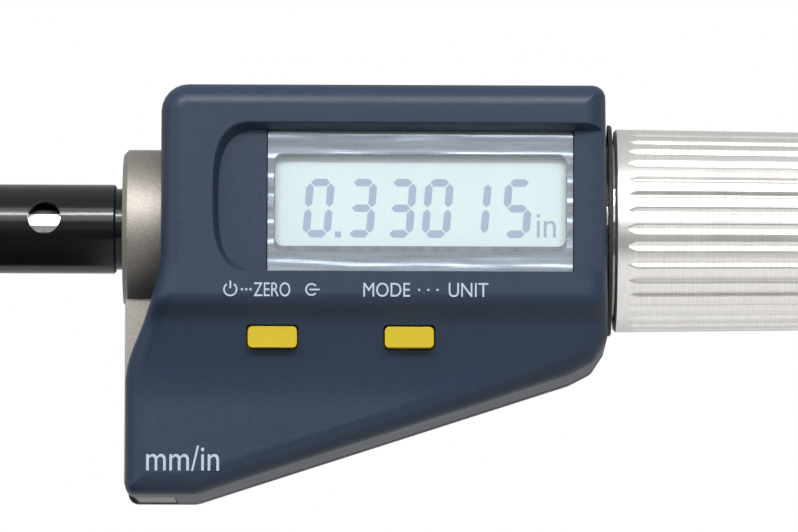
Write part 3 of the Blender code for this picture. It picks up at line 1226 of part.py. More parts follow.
def set_joint_origins():
    """Put each moving piece's origin on its own joint axis."""
    cap = (COLLAR_X + BATTERY_X, CAP_FACE, BATTERY_Z)
    places = {"battery_cap": cap}
    for i, left in enumerate(BUTTON_LEFTS):
        places[f"button_{i + 1}"] = (COLLAR_X + left + BUTTON_WIDTH / 2, front_surface(BUTTON_Z), BUTTON_Z)
    for name, place in places.items():
        set_origin(bpy.data.objects[name], place)


clear_scene()
PARTS = new_collection("bore_micrometer")
CUTTERS = new_collection("cutters")

STEEL = material("ground_steel", (0.62, 0.61, 0.60), 0.28, 1.0)
HARD_STEEL = material("hard_steel", (0.70, 0.69, 0.67), 0.2, 1.0)
SPRING_STEEL = material("spring_steel", (0.45, 0.45, 0.46), 0.35, 1.0)
CARBIDE = material("carbide", (0.35, 0.35, 0.37), 0.25, 1.0)
BLACK_STEEL = material("black_steel", (0.012, 0.012, 0.014), 0.32)
NICKEL = material("blasted_nickel", (0.55, 0.52, 0.48), 0.5, 1.0)
SATIN_CHROME = material("satin_chrome", (0.62, 0.60, 0.57), 0.38, 1.0)
BRASS = material("brass", (0.72, 0.55, 0.27), 0.35, 1.0)
COVER_PLASTIC = material("cover_plastic", (0.055, 0.075, 0.105), 0.5)
REAR_PLASTIC = material("rear_plastic", (0.05, 0.055, 0.065), 0.55)
WHITE_PLASTIC = material("white_plastic", (0.75, 0.75, 0.73), 0.5)
YELLOW = material("yellow_button", (0.78, 0.63, 0.05), 0.4)
RUBBER = material("black_rubber", (0.015, 0.015, 0.017), 0.7)
BOARD_GREEN = material("board_green", (0.03, 0.16, 0.07), 0.45)
CLEAR = material("clear_window", (0.9, 0.93, 0.95), 0.05)
FOIL = material("silver_mask", (0.75, 0.77, 0.82), 0.25, 0.8)
LCD_GREY = material("display_glass", (0.76, 0.88, 0.86), 0.15)
CELL_STEEL = material("cell_steel", (0.7, 0.7, 0.7), 0.25, 1.0)
METAL_CAN = material("metal_can", (0.65, 0.65, 0.66), 0.35, 1.0)

after_ball = head_pieces()
tube_piece()
frame_pieces()
front_cover_piece()
rear_cover_piece()
gasket_pieces()
display_pieces()
button_pieces()
fastener_pieces()
battery_pieces()
spindle_pieces(after_ball)
thimble_pieces()
set_joint_origins()
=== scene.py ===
"""Looks of the digital three-point bore micrometer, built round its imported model.

Frame: the spindle axis is the X axis, +X runs towards the ratchet, the display faces -Y and
+Z is up. All sizes are in metres, written as millimetres times MM.
"""

import json
import logging
import math
from dataclasses import dataclass, field
from enum import Enum
from typing import Callable

import bmesh
import bpy
from mathutils import Matrix, Vector

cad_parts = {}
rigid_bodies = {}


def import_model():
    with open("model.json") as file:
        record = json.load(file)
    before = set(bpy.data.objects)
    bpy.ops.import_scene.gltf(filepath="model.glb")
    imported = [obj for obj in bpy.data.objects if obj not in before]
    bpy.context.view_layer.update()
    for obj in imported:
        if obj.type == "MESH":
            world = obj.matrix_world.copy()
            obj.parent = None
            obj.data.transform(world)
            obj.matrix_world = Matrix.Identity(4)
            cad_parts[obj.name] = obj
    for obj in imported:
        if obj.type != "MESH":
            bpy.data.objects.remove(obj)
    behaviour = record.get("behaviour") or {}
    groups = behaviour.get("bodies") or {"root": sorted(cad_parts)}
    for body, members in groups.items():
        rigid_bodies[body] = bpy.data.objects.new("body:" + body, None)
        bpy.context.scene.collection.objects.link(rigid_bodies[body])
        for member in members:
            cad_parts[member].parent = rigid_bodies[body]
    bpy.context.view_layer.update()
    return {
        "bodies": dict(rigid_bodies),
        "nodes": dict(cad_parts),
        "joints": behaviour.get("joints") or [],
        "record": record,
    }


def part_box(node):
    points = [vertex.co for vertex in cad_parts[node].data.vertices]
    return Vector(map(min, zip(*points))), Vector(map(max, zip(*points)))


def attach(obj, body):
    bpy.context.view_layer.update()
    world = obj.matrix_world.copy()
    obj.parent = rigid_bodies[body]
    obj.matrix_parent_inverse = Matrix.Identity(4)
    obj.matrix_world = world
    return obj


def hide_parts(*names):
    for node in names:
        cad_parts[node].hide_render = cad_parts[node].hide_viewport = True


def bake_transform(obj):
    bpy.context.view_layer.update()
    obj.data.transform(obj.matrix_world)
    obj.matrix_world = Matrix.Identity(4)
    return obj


MM = 0.001
LOG = logging.getLogger("bore_micrometer")

Point = tuple[float, float]
Place = tuple[float, float, float]
Color = tuple[float, float, float]

WELD = 1e-7  # points closer than this are one
ROUND_STEPS = 6
BROAD_ANGLE = math.radians(0.5)  # faces flatter than this to each other are one face


# ---------------------------------------------------------------- finishes
class Grain(Enum):
    """How the fine surface pattern of a finish runs."""

    EVEN = (1.0, 1.0, 1.0)
    TURNED = (1.0, 0.05, 0.05)
    DRAWN = (0.06, 1.0, 1.0)


def grain_group() -> bpy.types.NodeTree:
    """The shared pattern of fine grain over slow, cloudy variation.

    Returns:
        The node group, with a fine Height, a fine Mask and a slow Cloud as outputs.
    """
    name = "surface_grain"
    found = bpy.data.node_groups.get(name)
    if found:
        return found
    group = bpy.data.node_groups.new(name, "ShaderNodeTree")
    group.interface.new_socket("Vector", in_out="INPUT", socket_type="NodeSocketVector")
    group.interface.new_socket("Fine Scale", in_out="INPUT", socket_type="NodeSocketFloat")
    group.interface.new_socket("Cloud Scale", in_out="INPUT", socket_type="NodeSocketFloat")
    for label in ("Height", "Mask", "Cloud"):
        group.interface.new_socket(label, in_out="OUTPUT", socket_type="NodeSocketFloat")
    nodes, links = group.nodes, group.links
    source = nodes.new("NodeGroupInput")
    target = nodes.new("NodeGroupOutput")
    fine = nodes.new("ShaderNodeTexNoise")
    fine.inputs["Detail"].default_value = 3.0
    cloud = nodes.new("ShaderNodeTexNoise")
    cloud.inputs["Detail"].default_value = 2.0
    mask = nodes.new("ShaderNodeMapRange")
    mask.inputs["From Min"].default_value = 0.35
    mask.inputs["From Max"].default_value = 0.65
    links.new(source.outputs["Vector"], fine.inputs["Vector"])
    links.new(source.outputs["Vector"], cloud.inputs["Vector"])
    links.new(source.outputs["Fine Scale"], fine.inputs["Scale"])
    links.new(source.outputs["Cloud Scale"], cloud.inputs["Scale"])
    links.new(fine.outputs["Fac"], mask.inputs["Value"])
    links.new(fine.outputs["Fac"], target.inputs["Height"])
    links.new(mask.outputs["Result"], target.inputs["Mask"])
    links.new(cloud.outputs["Fac"], target.inputs["Cloud"])
    return group


@dataclass(frozen=True)
class Finish:
    """One surface finish, made as a procedural material."""

    name: str
    color: Color
    roughness: float
    metallic: float = 0.0
    grain: Grain = Grain.EVEN
    fine_scale: float = 6000.0
    cloud_scale: float = 120.0
    depth: float = 0.004 * MM
    speckle: float = 0.06
    roughness_spread: float = 0.08
    coat: float = 0.0
    alpha: float = 1.0
    gloss: float = 0.5

    def shade(self, factor: float) -> tuple[float, float, float, float]:
        """The finish's colour made lighter or darker.

        Args:
            factor: What each channel is multiplied by.

        Returns:
            The colour with an alpha of one.
        """
        return (*(min(channel * factor, 1.0) for channel in self.color), 1.0)

    def make(self) -> bpy.types.Material:
        """The material of this finish, built on first use.

        Returns:
            The material.
        """
        name = f"finish_{self.name}"
        found = bpy.data.materials.get(name)
        if found:
            return found
        made = bpy.data.materials.new(name)
        made.use_nodes = True
        nodes, links = made.node_tree.nodes, made.node_tree.links
        shader = nodes["Principled BSDF"]
        place = nodes.new("ShaderNodeTexCoord")
        mapping = nodes.new("ShaderNodeMapping")
        mapping.inputs["Scale"].default_value = self.grain.value
        grain = nodes.new("ShaderNodeGroup")
        grain.node_tree = grain_group()
        grain.inputs["Fine Scale"].default_value = self.fine_scale
        grain.inputs["Cloud Scale"].default_value = self.cloud_scale
        links.new(place.outputs["Object"], mapping.inputs["Vector"])
        links.new(mapping.outputs["Vector"], grain.inputs["Vector"])
        tone = nodes.new("ShaderNodeMix")
        tone.data_type = "RGBA"
        tone.inputs["A"].default_value = self.shade(1.0 - self.speckle)
        tone.inputs["B"].default_value = self.shade(1.0 + self.speckle)
        links.new(grain.outputs["Mask"], tone.inputs["Factor"])
        links.new(tone.outputs["Result"], shader.inputs["Base Color"])
        rough = nodes.new("ShaderNodeMapRange")
        rough.inputs["To Min"].default_value = max(self.roughness - self.roughness_spread, 0.02)
        rough.inputs["To Max"].default_value = min(self.roughness + self.roughness_spread, 1.0)
        links.new(grain.outputs["Cloud"], rough.inputs["Value"])
        links.new(rough.outputs["Result"], shader.inputs["Roughness"])
        bump = nodes.new("ShaderNodeBump")
        bump.inputs["Distance"].default_value = self.depth
        links.new(grain.outputs["Height"], bump.inputs["Height"])
        links.new(bump.outputs["Normal"], shader.inputs["Normal"])
        shader.inputs["Metallic"].default_value = self.metallic
        shader.inputs["Specular IOR Level"].default_value = self.gloss
        shader.inputs["Coat Weight"].default_value = self.coat
        shader.inputs["Alpha"].default_value = self.alpha
        return made


GROUND_STEEL = Finish("ground_steel", (0.60, 0.59, 0.57), 0.26, 1.0, Grain.TURNED, 9000.0)
HARD_STEEL = Finish("hard_steel", (0.66, 0.65, 0.63), 0.18, 1.0, Grain.TURNED, 9000.0)
SPRING_STEEL = Finish("spring_steel", (0.42, 0.42, 0.43), 0.35, 1.0)
CARBIDE = Finish("carbide", (0.30, 0.30, 0.32), 0.24, 1.0)
BLACK_STEEL = Finish(
    "black_steel", (0.0030, 0.0034, 0.0042), 0.15, 0.0, Grain.TURNED, 5000.0, depth=0.0012 * MM, gloss=0.42,
    roughness_spread=0.05,
)
BLASTED_NICKEL = Finish(
    "blasted_nickel", (0.34, 0.318, 0.290), 0.58, 1.0, fine_scale=5200.0, depth=0.014 * MM, speckle=0.12
)
SATIN_CHROME = Finish(
    "satin_chrome", (0.84, 0.82, 0.79), 0.35, 1.0, Grain.TURNED, 7000.0, depth=0.003 * MM, speckle=0.05
)
BRASS = Finish("brass", (0.70, 0.50, 0.22), 0.32, 1.0, Grain.TURNED, 7000.0)
COVER_PLASTIC = Finish(
    "cover_plastic", (0.0185, 0.0310, 0.056), 0.40, fine_scale=4200.0, depth=0.011 * MM, speckle=0.10,
    gloss=0.28,
)
REAR_PLASTIC = Finish(
    "rear_plastic", (0.0185, 0.0300, 0.052), 0.46, fine_scale=4200.0, depth=0.013 * MM, speckle=0.10,
    gloss=0.28,
)
WHITE_PLASTIC = Finish("white_plastic", (0.76, 0.76, 0.74), 0.45)
YELLOW_PLASTIC = Finish(
    "yellow_plastic", (0.47, 0.355, 0.013), 0.36, fine_scale=3000.0, depth=0.003 * MM, speckle=0.02,
    gloss=0.25,
)
BLACK_RUBBER = Finish("black_rubber", (0.014, 0.014, 0.016), 0.68, depth=0.008 * MM)
BOARD_GREEN = Finish("board_green", (0.03, 0.16, 0.07), 0.40)
CLEAR_ACRYLIC = Finish(
    "clear_window", (0.93, 0.96, 0.97), 0.05, fine_scale=500.0, speckle=0.0, roughness_spread=0.02,
    depth=0.0002 * MM, alpha=0.05,
)
SILVER_FILM = Finish(
    "silver_mask", (0.40, 0.47, 0.57), 0.17, 0.95, Grain.DRAWN, 2200.0, 300.0, 0.01 * MM, 0.16, 0.06
)
DISPLAY_GLASS = Finish(
    "display_glass", (0.49, 0.60, 0.61), 0.35, fine_scale=2500.0, depth=0.0002 * MM, speckle=0.012,
    gloss=0.3,
)
CELL_STEEL = Finish("cell_steel", (0.66, 0.66, 0.65), 0.24, 1.0)
METAL_CAN = Finish("metal_can", (0.60, 0.60, 0.61), 0.33, 1.0)
DISPLAY_INK = Finish("display_ink", (0.22, 0.28, 0.40), 0.5, depth=0.0005 * MM, speckle=0.02)
# painted shade: this dark colour is the band round the display opening and stands in for the shadow round the
# recessed glass, not for print
PAINTED_SHADE_BAND = Finish("painted_shade_band", (0.10, 0.11, 0.14), 0.42, fine_scale=900.0, depth=0.01 * MM, speckle=0.3)
LABEL_INK = Finish("label_ink", (0.35, 0.41, 0.50), 0.5, depth=0.001 * MM, speckle=0.04)
STUDIO_FLOOR = Finish("studio_floor", (0.34, 0.34, 0.34), 0.9, fine_scale=90.0, speckle=0.005, gloss=0.0)

FINISHES = {
    finish.name: finish
    for finish in (
        GROUND_STEEL, HARD_STEEL, SPRING_STEEL, CARBIDE, BLACK_STEEL, BLASTED_NICKEL, SATIN_CHROME,
        BRASS, COVER_PLASTIC, REAR_PLASTIC, WHITE_PLASTIC, YELLOW_PLASTIC, BLACK_RUBBER, BOARD_GREEN,
        CLEAR_ACRYLIC, SILVER_FILM, DISPLAY_GLASS, CELL_STEEL, METAL_CAN,
    )
}


# ---------------------------------------------------------------- shapes
def round_corner(
    before: Point, corner: Point, after: Point, radius: float, steps: int = ROUND_STEPS
) -> list[Point]:
    """Points of an arc in place of one corner of an outline.

    Args:
        before: The point ahead of the corner.
        corner: The corner itself.
        after: The point past the corner.
        radius: The arc's radius.
        steps: How many parts the arc has.

    Returns:
        The arc's points, in the outline's order.
    """
    here = Vector(corner)
    back = (Vector(before) - here).normalized()
    ahead = (Vector(after) - here).normalized()
    half = back.angle(ahead) / 2
    centre = here + (back + ahead).normalized() * radius / math.sin(half)
    first = here + back * radius / math.tan(half) - centre
    last = here + ahead * radius / math.tan(half) - centre
    turn = math.atan2(first.x * last.y - first.y * last.x, first.dot(last))
    points = []
    for i in range(steps + 1):
        angle = turn * i / steps
        points.append((
            centre.x + first.x * math.cos(angle) - first.y * math.sin(angle),
            centre.y + first.x * math.sin(angle) + first.y * math.cos(angle),
        ))
    return points


def inset(points: list[Point], distance: float) -> list[Point]:
    """A counter-clockwise outline moved inwards.

    Args:
        points: The outline.
        distance: How far each side moves.

    Returns:
        The new outline, with as many points.
    """
    moved = []
    for i, here in enumerate(points):
        first = (Vector(here) - Vector(points[i - 1])).normalized()
        second = (Vector(points[(i + 1) % len(points)]) - Vector(here)).normalized()
        normal = Vector((-first.y, first.x))
        inward = (normal + Vector((-second.y, second.x))).normalized()
        moved.append(tuple(Vector(here) + inward * distance / max(0.5, inward.dot(normal))))
    return moved


def plate(corners: list[Point], front: float, back: float, radius: float = 0.0) -> bmesh.types.BMesh:
    """A flat body from a few corners, which may be rounded, extruded along Y.

    Args:
        corners: The (x, z) corners in order.
        front: The y of its front.
        back: The y of its back.
        radius: How far from each corner its rounding starts.

    Returns:
        The body.
    """
    shape = bmesh.new()
    bmesh.ops.contextual_create(shape, geom=[shape.verts.new((x, back, z)) for x, z in corners])
    if radius:
        bmesh.ops.bevel(
            shape, geom=shape.verts[:], offset=radius, offset_type="OFFSET", segments=ROUND_STEPS,
            profile=0.5, affect="VERTICES", material=-1,
        )
    grown = bmesh.ops.extrude_face_region(shape, geom=shape.faces[:] + shape.edges[:], use_keep_orig=True)
    moved = [item for item in grown["geom"] if isinstance(item, bmesh.types.BMVert)]
    bmesh.ops.translate(shape, vec=(0, front - back, 0), verts=moved)
    bmesh.ops.recalc_face_normals(shape, faces=shape.faces)
    return shape


def panel(left: float, bottom: float, right: float, top: float) -> list[Point]:
    """The four corners of an upright rectangle.

    Args:
        left: Its lowest x.
        bottom: Its lowest z.
        right: Its highest x.
        top: Its highest z.

    Returns:
        The (x, z) corners, counter-clockwise.
    """
    return [(left, bottom), (right, bottom), (right, top), (left, top)]


def ring(shape: bmesh.types.BMesh, points: list[Point], depth: float) -> list[bmesh.types.BMEdge]:
    """Add a closed loop of edges at one depth.

    Args:
        shape: The bmesh that takes the loop.
        points: The loop's (x, z) points.
        depth: The loop's y.

    Returns:
        The loop's edges.
    """
    corners = [shape.verts.new((x, depth, z)) for x, z in points]
    return [shape.edges.new(pair) for pair in zip(corners, corners[1:] + corners[:1])]


def stacked(rings: list[tuple[list[Point], float]]) -> bmesh.types.BMesh:
    """A closed body from loops with as many points each, bridged in order and capped.

    Args:
        rings: Each loop's points and depth.

    Returns:
        The body.
    """
    shape = bmesh.new()
    loops = [ring(shape, points, depth) for points, depth in rings]
    for first, second in zip(loops, loops[1:]):
        bmesh.ops.bridge_loops(shape, edges=first + second)
    for loop in (loops[0], loops[-1]):
        bmesh.ops.contextual_create(shape, geom=loop)
    bmesh.ops.recalc_face_normals(shape, faces=shape.faces)
    return shape


def block(low: Place, high: Place) -> bmesh.types.BMesh:
    """A box between two corners.

    Args:
        low: The lowest corner.
        high: The highest corner.

    Returns:
        The box.
    """
    shape = bmesh.new()
    bmesh.ops.create_cube(shape, size=1.0)
    size = Vector(high) - Vector(low)
    bmesh.ops.scale(shape, vec=size, verts=shape.verts)
    bmesh.ops.translate(shape, vec=(Vector(low) + Vector(high)) / 2, verts=shape.verts)
    return shape


def cylinder(radius: float, start: float, end: float, sides: int = 96) -> bmesh.types.BMesh:
    """A cylinder on the X axis.

    Args:
        radius: Its radius.
        start: Its lowest x.
        end: Its highest x.
        sides: How many sides it has.

    Returns:
        The cylinder.
    """
    shape = bmesh.new()
    bmesh.ops.create_cone(
        shape, cap_ends=True, segments=sides, radius1=radius, radius2=radius, depth=end - start
    )
    place = Matrix.Translation(((start + end) / 2, 0, 0)) @ Matrix.Rotation(math.pi / 2, 4, "Y")
    bmesh.ops.transform(shape, matrix=place, verts=shape.verts)
    return shape


def turned(profile: list[Point], sides: int) -> bmesh.types.BMesh:
    """A body turned about the X axis.

    Args:
        profile: A closed list of (x, radius) points.
        sides: How many sides the body has.

    Returns:
        The body.
    """
    shape = bmesh.new()
    corners = [shape.verts.new((x, 0.0, radius)) for x, radius in profile]
    for pair in zip(corners, corners[1:] + corners[:1]):
        shape.edges.new(pair)
    bmesh.ops.spin(
        shape, geom=shape.verts[:] + shape.edges[:], cent=(0, 0, 0), axis=(1, 0, 0),
        angle=2 * math.pi, steps=sides, use_merge=True,
    )
    bmesh.ops.remove_doubles(shape, verts=shape.verts, dist=WELD)
    bmesh.ops.recalc_face_normals(shape, faces=shape.faces)
    return shape


def as_object(name: str, shape: bmesh.types.BMesh) -> bpy.types.Object:
    """Turn a bmesh into a linked object and free it.

    Args:
        name: The object's name.
        shape: The bmesh.

    Returns:
        The object.
    """
    mesh = bpy.data.meshes.new(name)
    shape.to_mesh(mesh)
    shape.free()
    made = bpy.data.objects.new(name, mesh)
    bpy.context.scene.collection.objects.link(made)
    return made


def sliced(shape: bmesh.types.BMesh, places: list[Place], normal: Place) -> None:
    """Add an edge wherever a row of parallel planes crosses a body.

    Args:
        shape: The body.
        places: A point on each plane.
        normal: The planes' direction.
    """
    for place in places:
        bmesh.ops.bisect_plane(
            shape, geom=shape.verts[:] + shape.edges[:] + shape.faces[:],
            plane_co=place, plane_no=normal, dist=WELD,
        )


def joined(shapes: list[bmesh.types.BMesh]) -> bmesh.types.BMesh:
    """Several bodies in one bmesh.

    Args:
        shapes: The bodies, which are freed.

    Returns:
        The bmesh that holds them all.
    """
    whole = bmesh.new()
    for shape in shapes:
        mesh = bpy.data.meshes.new("joined")
        shape.to_mesh(mesh)
        shape.free()
        whole.from_mesh(mesh)
        bpy.data.meshes.remove(mesh)
    return whole


def carve(shape: bmesh.types.BMesh, tools: list[bmesh.types.BMesh]) -> bmesh.types.BMesh:
    """Cut tools out of a body.

    Args:
        shape: The body, which is freed.
        tools: The bodies that are cut out, which are freed.

    Returns:
        What is left of the body.
    """
    body = as_object("carved", shape)
    cutters = [as_object("carving_tool", tool) for tool in tools]
    for tool in cutters:
        step = body.modifiers.new("cut", "BOOLEAN")
        step.operation = "DIFFERENCE"
        step.solver = "EXACT"
        step.object = tool
    bpy.context.view_layer.update()
    reading = body.evaluated_get(bpy.context.evaluated_depsgraph_get())
    mesh = bpy.data.meshes.new_from_object(reading)
    result = bmesh.new()
    result.from_mesh(mesh)
    for item in [body, *cutters]:
        bpy.data.objects.remove(item, do_unlink=True)
    bpy.data.meshes.remove(mesh)
    bmesh.ops.remove_doubles(result, verts=result.verts, dist=WELD)
    return result


# ---------------------------------------------------------------- the shop that all pieces go through
@dataclass
class Shop:
    """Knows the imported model, and gives each new piece its finish, body and slot."""

    frame: dict
    bodies: dict[str, str] = field(default_factory=dict)
    slots: dict[str, str] = field(default_factory=dict)

    def __post_init__(self) -> None:
        """Read which body and material slot each node has."""
        record = self.frame["record"]
        for body, nodes in record["behaviour"]["bodies"].items():
            for node in nodes:
                self.bodies[node] = body
        for row in record["subparts"]:
            self.slots[row["node"]] = row["material_slot"]

    def piece(
        self, name: str, shape: bmesh.types.BMesh, node: str, finish: Finish | None = None,
        replace: bool = True, angle: float = 32.0,
    ) -> bpy.types.Object:
        """Make a finished piece that belongs with a node.

        Args:
            name: The piece's name.
            shape: Its mesh, which is freed.
            node: The node whose body and slot it takes.
            finish: Its finish, or None for the slot's own.
            replace: Whether it stands for the node.
            angle: The angle in degrees past which an edge stays sharp.

        Returns:
            The piece.
        """
        made = self.dressed(name, shape, finish or FINISHES[self.slots[node]], angle)
        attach(made, self.bodies[node])
        if replace:
            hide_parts(node)
        LOG.info("%s rides on %s", name, self.bodies[node])
        return made

    def dressed(self, name: str, shape: bmesh.types.BMesh, finish: Finish, angle: float) -> bpy.types.Object:
        """Make an object with its finish and shading.

        Args:
            name: The object's name.
            shape: Its mesh, which is freed.
            finish: Its finish.
            angle: The angle in degrees past which an edge stays sharp.

        Returns:
            The object.
        """
        made = as_object(name, shape)
        made.data.materials.append(finish.make())
        made.data.shade_smooth()
        made.data.set_sharp_from_angle(angle=math.radians(angle))
        return made

    def stretch(self, node: str, still: str, moving: str) -> bpy.types.Object:
        """Replace a node by a finished copy, baked in place and attached to no body; nothing here makes it
        stretch.

        Args:
            node: The node's name.
            still: The body that the log names for its low end.
            moving: The body that the log names for its high end.

        Returns:
            The piece.
        """
        made = self.dressed(f"fine_{node}", self.copy_of(node), FINISHES[self.slots[node]], 32.0)
        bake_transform(made)
        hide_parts(node)
        LOG.info("%s stretches between %s and %s", made.name, still, moving)
        return made

    def dress_nodes(self) -> None:
        """Give each node that still shows the finish of its slot."""
        for name, node in self.frame["nodes"].items():
            node.data.materials.clear()
            node.data.materials.append(FINISHES[self.slots[name]].make())
            LOG.info("%s dressed as %s", name, self.slots[name])

    def copy_of(self, node: str) -> bmesh.types.BMesh:
        """A node's mesh with its loose triangles merged into whole faces.

        Args:
            node: The node's name.

        Returns:
            The copy.
        """
        shape = bmesh.new()
        shape.from_mesh(self.frame["nodes"][node].data)
        bmesh.ops.remove_doubles(shape, verts=shape.verts, dist=20 * WELD)
        bmesh.ops.dissolve_limit(shape, angle_limit=BROAD_ANGLE, verts=shape.verts, edges=shape.edges)
        return shape

    def refine(self, node: str, width: float, angle: float = 28.0) -> bpy.types.Object:
        """Replace a node by a copy with softly broken edges.

        Args:
            node: The node's name.
            width: Width of the broken edges.
            angle: The least angle in degrees of an edge that is broken.

        Returns:
            The piece.
        """
        made = self.piece(f"fine_{node}", self.copy_of(node), node)
        edge = made.modifiers.new("broken_edges", "BEVEL")
        edge.width = width
        edge.segments = 2
        edge.limit_method = "ANGLE"
        edge.angle_limit = math.radians(angle)
        edge.harden_normals = True
        return made


# ---------------------------------------------------------------- housing
@dataclass
class Housing:
    """The two shells round the display, with their sizes measured from the collar's left face.

    The outlines and their round rim are worked out here and bridged, since the rim is wider than
    the corners it runs round and a bevel would fold over itself there.
    """

    shop: Shop
    skew: float = 0.3 * MM
    reach: float = 3.5 * MM
    slope_start: float = 7.4 * MM
    slope_end: float = 44.5 * MM
    slope: float = math.radians(18.0)
    slope_round: float = 3.0 * MM
    nose: Place = (2.3 * MM, 1.2 * MM, 3.4 * MM)
    nose_round: float = 1.5 * MM
    flank: tuple[Point, ...] = (
        (1.0, -4.7 * MM), (0.75, -8.0 * MM), (0.5, -10.3 * MM), (0.25, -12.3 * MM), (0.0, -14.6 * MM),
    )
    flank_round: float = 8.0 * MM
    corners: Place = (1.0 * MM, 1.3 * MM, 2.7 * MM)
    least_round: float = 0.05 * MM
    rim: float = 2.2 * MM
    rim_steps: int = 7
    wall: float = 1.5 * MM
    step_top: float = -8.3 * MM
    step_foot: float = -10.0 * MM
    sweep_end: float = -18.5 * MM
    lower_front: float = -8.5 * MM
    sweep_share: float = 0.52
    back_step: float = -11.5 * MM
    back_lean: float = 1.5 * MM
    lower_back: float = 8.2 * MM
    soft: float = 0.55 * MM
    soft_steps: int = 6
    cut_lead: float = 0.8 * MM
    cut_pitch: float = 0.25 * MM
    cuts: int = 50
    fit: float = 0.12 * MM
    over: float = 1.0 * MM
    collar_radius: float = 7.95 * MM
    collar_length: float = 8.0 * MM
    boss_radius: float = 7.4 * MM
    boss_length: float = 3.0 * MM
    arm_front: float = -3.1 * MM
    arm_back: float = 4.5 * MM
    arm_width: float = 5.3 * MM
    bay_low: float = -5.4 * MM
    bay_high: float = 9.3 * MM
    bay_left: float = 9.13 * MM
    bay_bulge: float = 3.6 * MM
    bay_steps: int = 28
    bay_depth: float = 1.5 * MM
    bay_edge: float = 0.12 * MM
    bay_lift: float = 0.75 * MM
    bay_slice: float = 0.35 * MM
    glass_border: float = 0.7 * MM
    window_wall: Place = (7.9 * MM, -6.2 * MM, 10.5 * MM)
    button_flange: float = 0.6 * MM
    button_gap: float = 0.15 * MM
    button_round: float = 0.4 * MM
    button_wall: float = 0.7 * MM
    cell_radius: float = 5.92 * MM
    cell_start: float = 3.0 * MM
    cell_wall: float = 1.2 * MM
    well_start: float = 4.6 * MM
    plug_radius: float = 7.0 * MM
    plug_start: float = 10.0 * MM
    cap_depth: float = 1.22 * MM
    screw_hole: float = 1.08 * MM
    screw_head: float = 1.9 * MM
    screw_sink: float = 1.5 * MM

    def __post_init__(self) -> None:
        """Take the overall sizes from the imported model."""
        self.front_low, self.front_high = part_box("front_cover")
        self.rear_low, self.rear_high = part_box("rear_cover")
        self.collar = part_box("frame_bracket")[0].x
        self.left = self.front_low.x + self.reach
        self.right = self.front_high.x - self.skew
        self.top = self.front_high.z
        self.bottom = self.front_low.z
        self.front = self.front_low.y
        self.seam = self.front_high.y

    def outline(self, distance: float = 0.0) -> list[Point]:
        """The housing seen from the front, counter-clockwise.

        Args:
            distance: How far the outline lies inside the outer one.

        Returns:
            The outline, with as many points at each distance.
        """
        edge = self.front_low.x
        end = self.collar + self.slope_end
        rise = self.bottom + (self.slope_end - self.slope_start) * math.tan(self.slope)
        run, lift, tip = self.nose
        foot, right, left = self.corners
        corners = [
            (edge, self.bottom, foot),
            (self.collar + self.slope_start, self.bottom, self.slope_round),
            (end, rise, self.slope_round),
            (end + run, rise + lift, self.nose_round),
            (self.right + self.skew, rise + tip, self.nose_round),
            (self.right, self.top, right),
            (self.left, self.top, left),
            *((edge + share * self.reach, height, self.flank_round) for share, height in self.flank),
        ]
        hollow = range(len(corners) - len(self.flank), len(corners) - 1)
        sharp = inset([(x, z) for x, z, _ in corners], distance)
        points: list[Point] = []
        for i, (_, _, radius) in enumerate(corners):
            kept = radius if i in hollow else max(radius - distance, self.least_round)
            points += round_corner(sharp[i - 1], sharp[i], sharp[(i + 1) % len(sharp)], kept)
        return points

    def front_depth(self, z: float) -> float:
        """Depth of the front's side view, before its edges are softened.

        Args:
            z: The height.

        Returns:
            The depth at that height.
        """
        if z >= self.step_top:
            return self.front
        share = max(0.0, min(1.0, 1 - (z - self.step_foot) / (self.sweep_end - self.step_foot)))
        sweep = self.lower_front + (self.front - self.lower_front) * self.sweep_share * share ** 2
        if z >= self.step_foot:
            mix = (self.step_top - z) / (self.step_top - self.step_foot)
            return self.front + (sweep - self.front) * mix
        return sweep

    def back_depth(self, z: float) -> float:
        """Depth of the back's side view, before its edges are softened.

        Args:
            z: The height.

        Returns:
            The depth at that height.
        """
        mix = (z - self.back_step + self.back_lean) / (2 * self.back_lean)
        return self.lower_back + (self.rear_high.y - self.lower_back) * max(0.0, min(1.0, mix))

    def softened(self, depth: Callable[[float], float], z: float) -> float:
        """A side view with its edges rounded by averaging over a short height.

        Args:
            depth: The side view.
            z: The height.

        Returns:
            The depth at that height.
        """
        count = self.soft_steps
        return sum(depth(z + self.soft * i / count) for i in range(-count, count + 1)) / (2 * count + 1)

    def shell(
        self, depth: Callable[[float], float], seam: float, within: float, side: int
    ) -> bmesh.types.BMesh:
        """A closed body with a round rim on its outer side and a flat seam.

        Args:
            depth: The side view of the outer surface.
            seam: The seam's y.
            within: How far the body lies inside the outer surface.
            side: 1 where the outer surface faces -Y, and -1 where it faces +Y.

        Returns:
            The body.
        """
        rings = []
        rim = self.rim
        for i in range(self.rim_steps, -1, -1):
            angle = math.pi / 2 * i / self.rim_steps
            rings.append((self.outline(within + rim * (1 - math.cos(angle))), rim * (1 - math.sin(angle))))
        mark = 1.0  # a metre away, so that the seam's loop can be told from the rim's
        rings.append((self.outline(within), mark))
        shape = stacked(rings)
        first = self.step_top + self.cut_lead
        sliced(shape, [(0, 0, first - self.cut_pitch * i) for i in range(self.cuts)], (0, 0, 1))
        for corner in shape.verts:
            if corner.co.y > mark / 2:
                corner.co.y = seam
            else:
                corner.co.y = self.softened(depth, corner.co.z) + side * (within + corner.co.y)
        bmesh.ops.recalc_face_normals(shape, faces=shape.faces)
        return shape

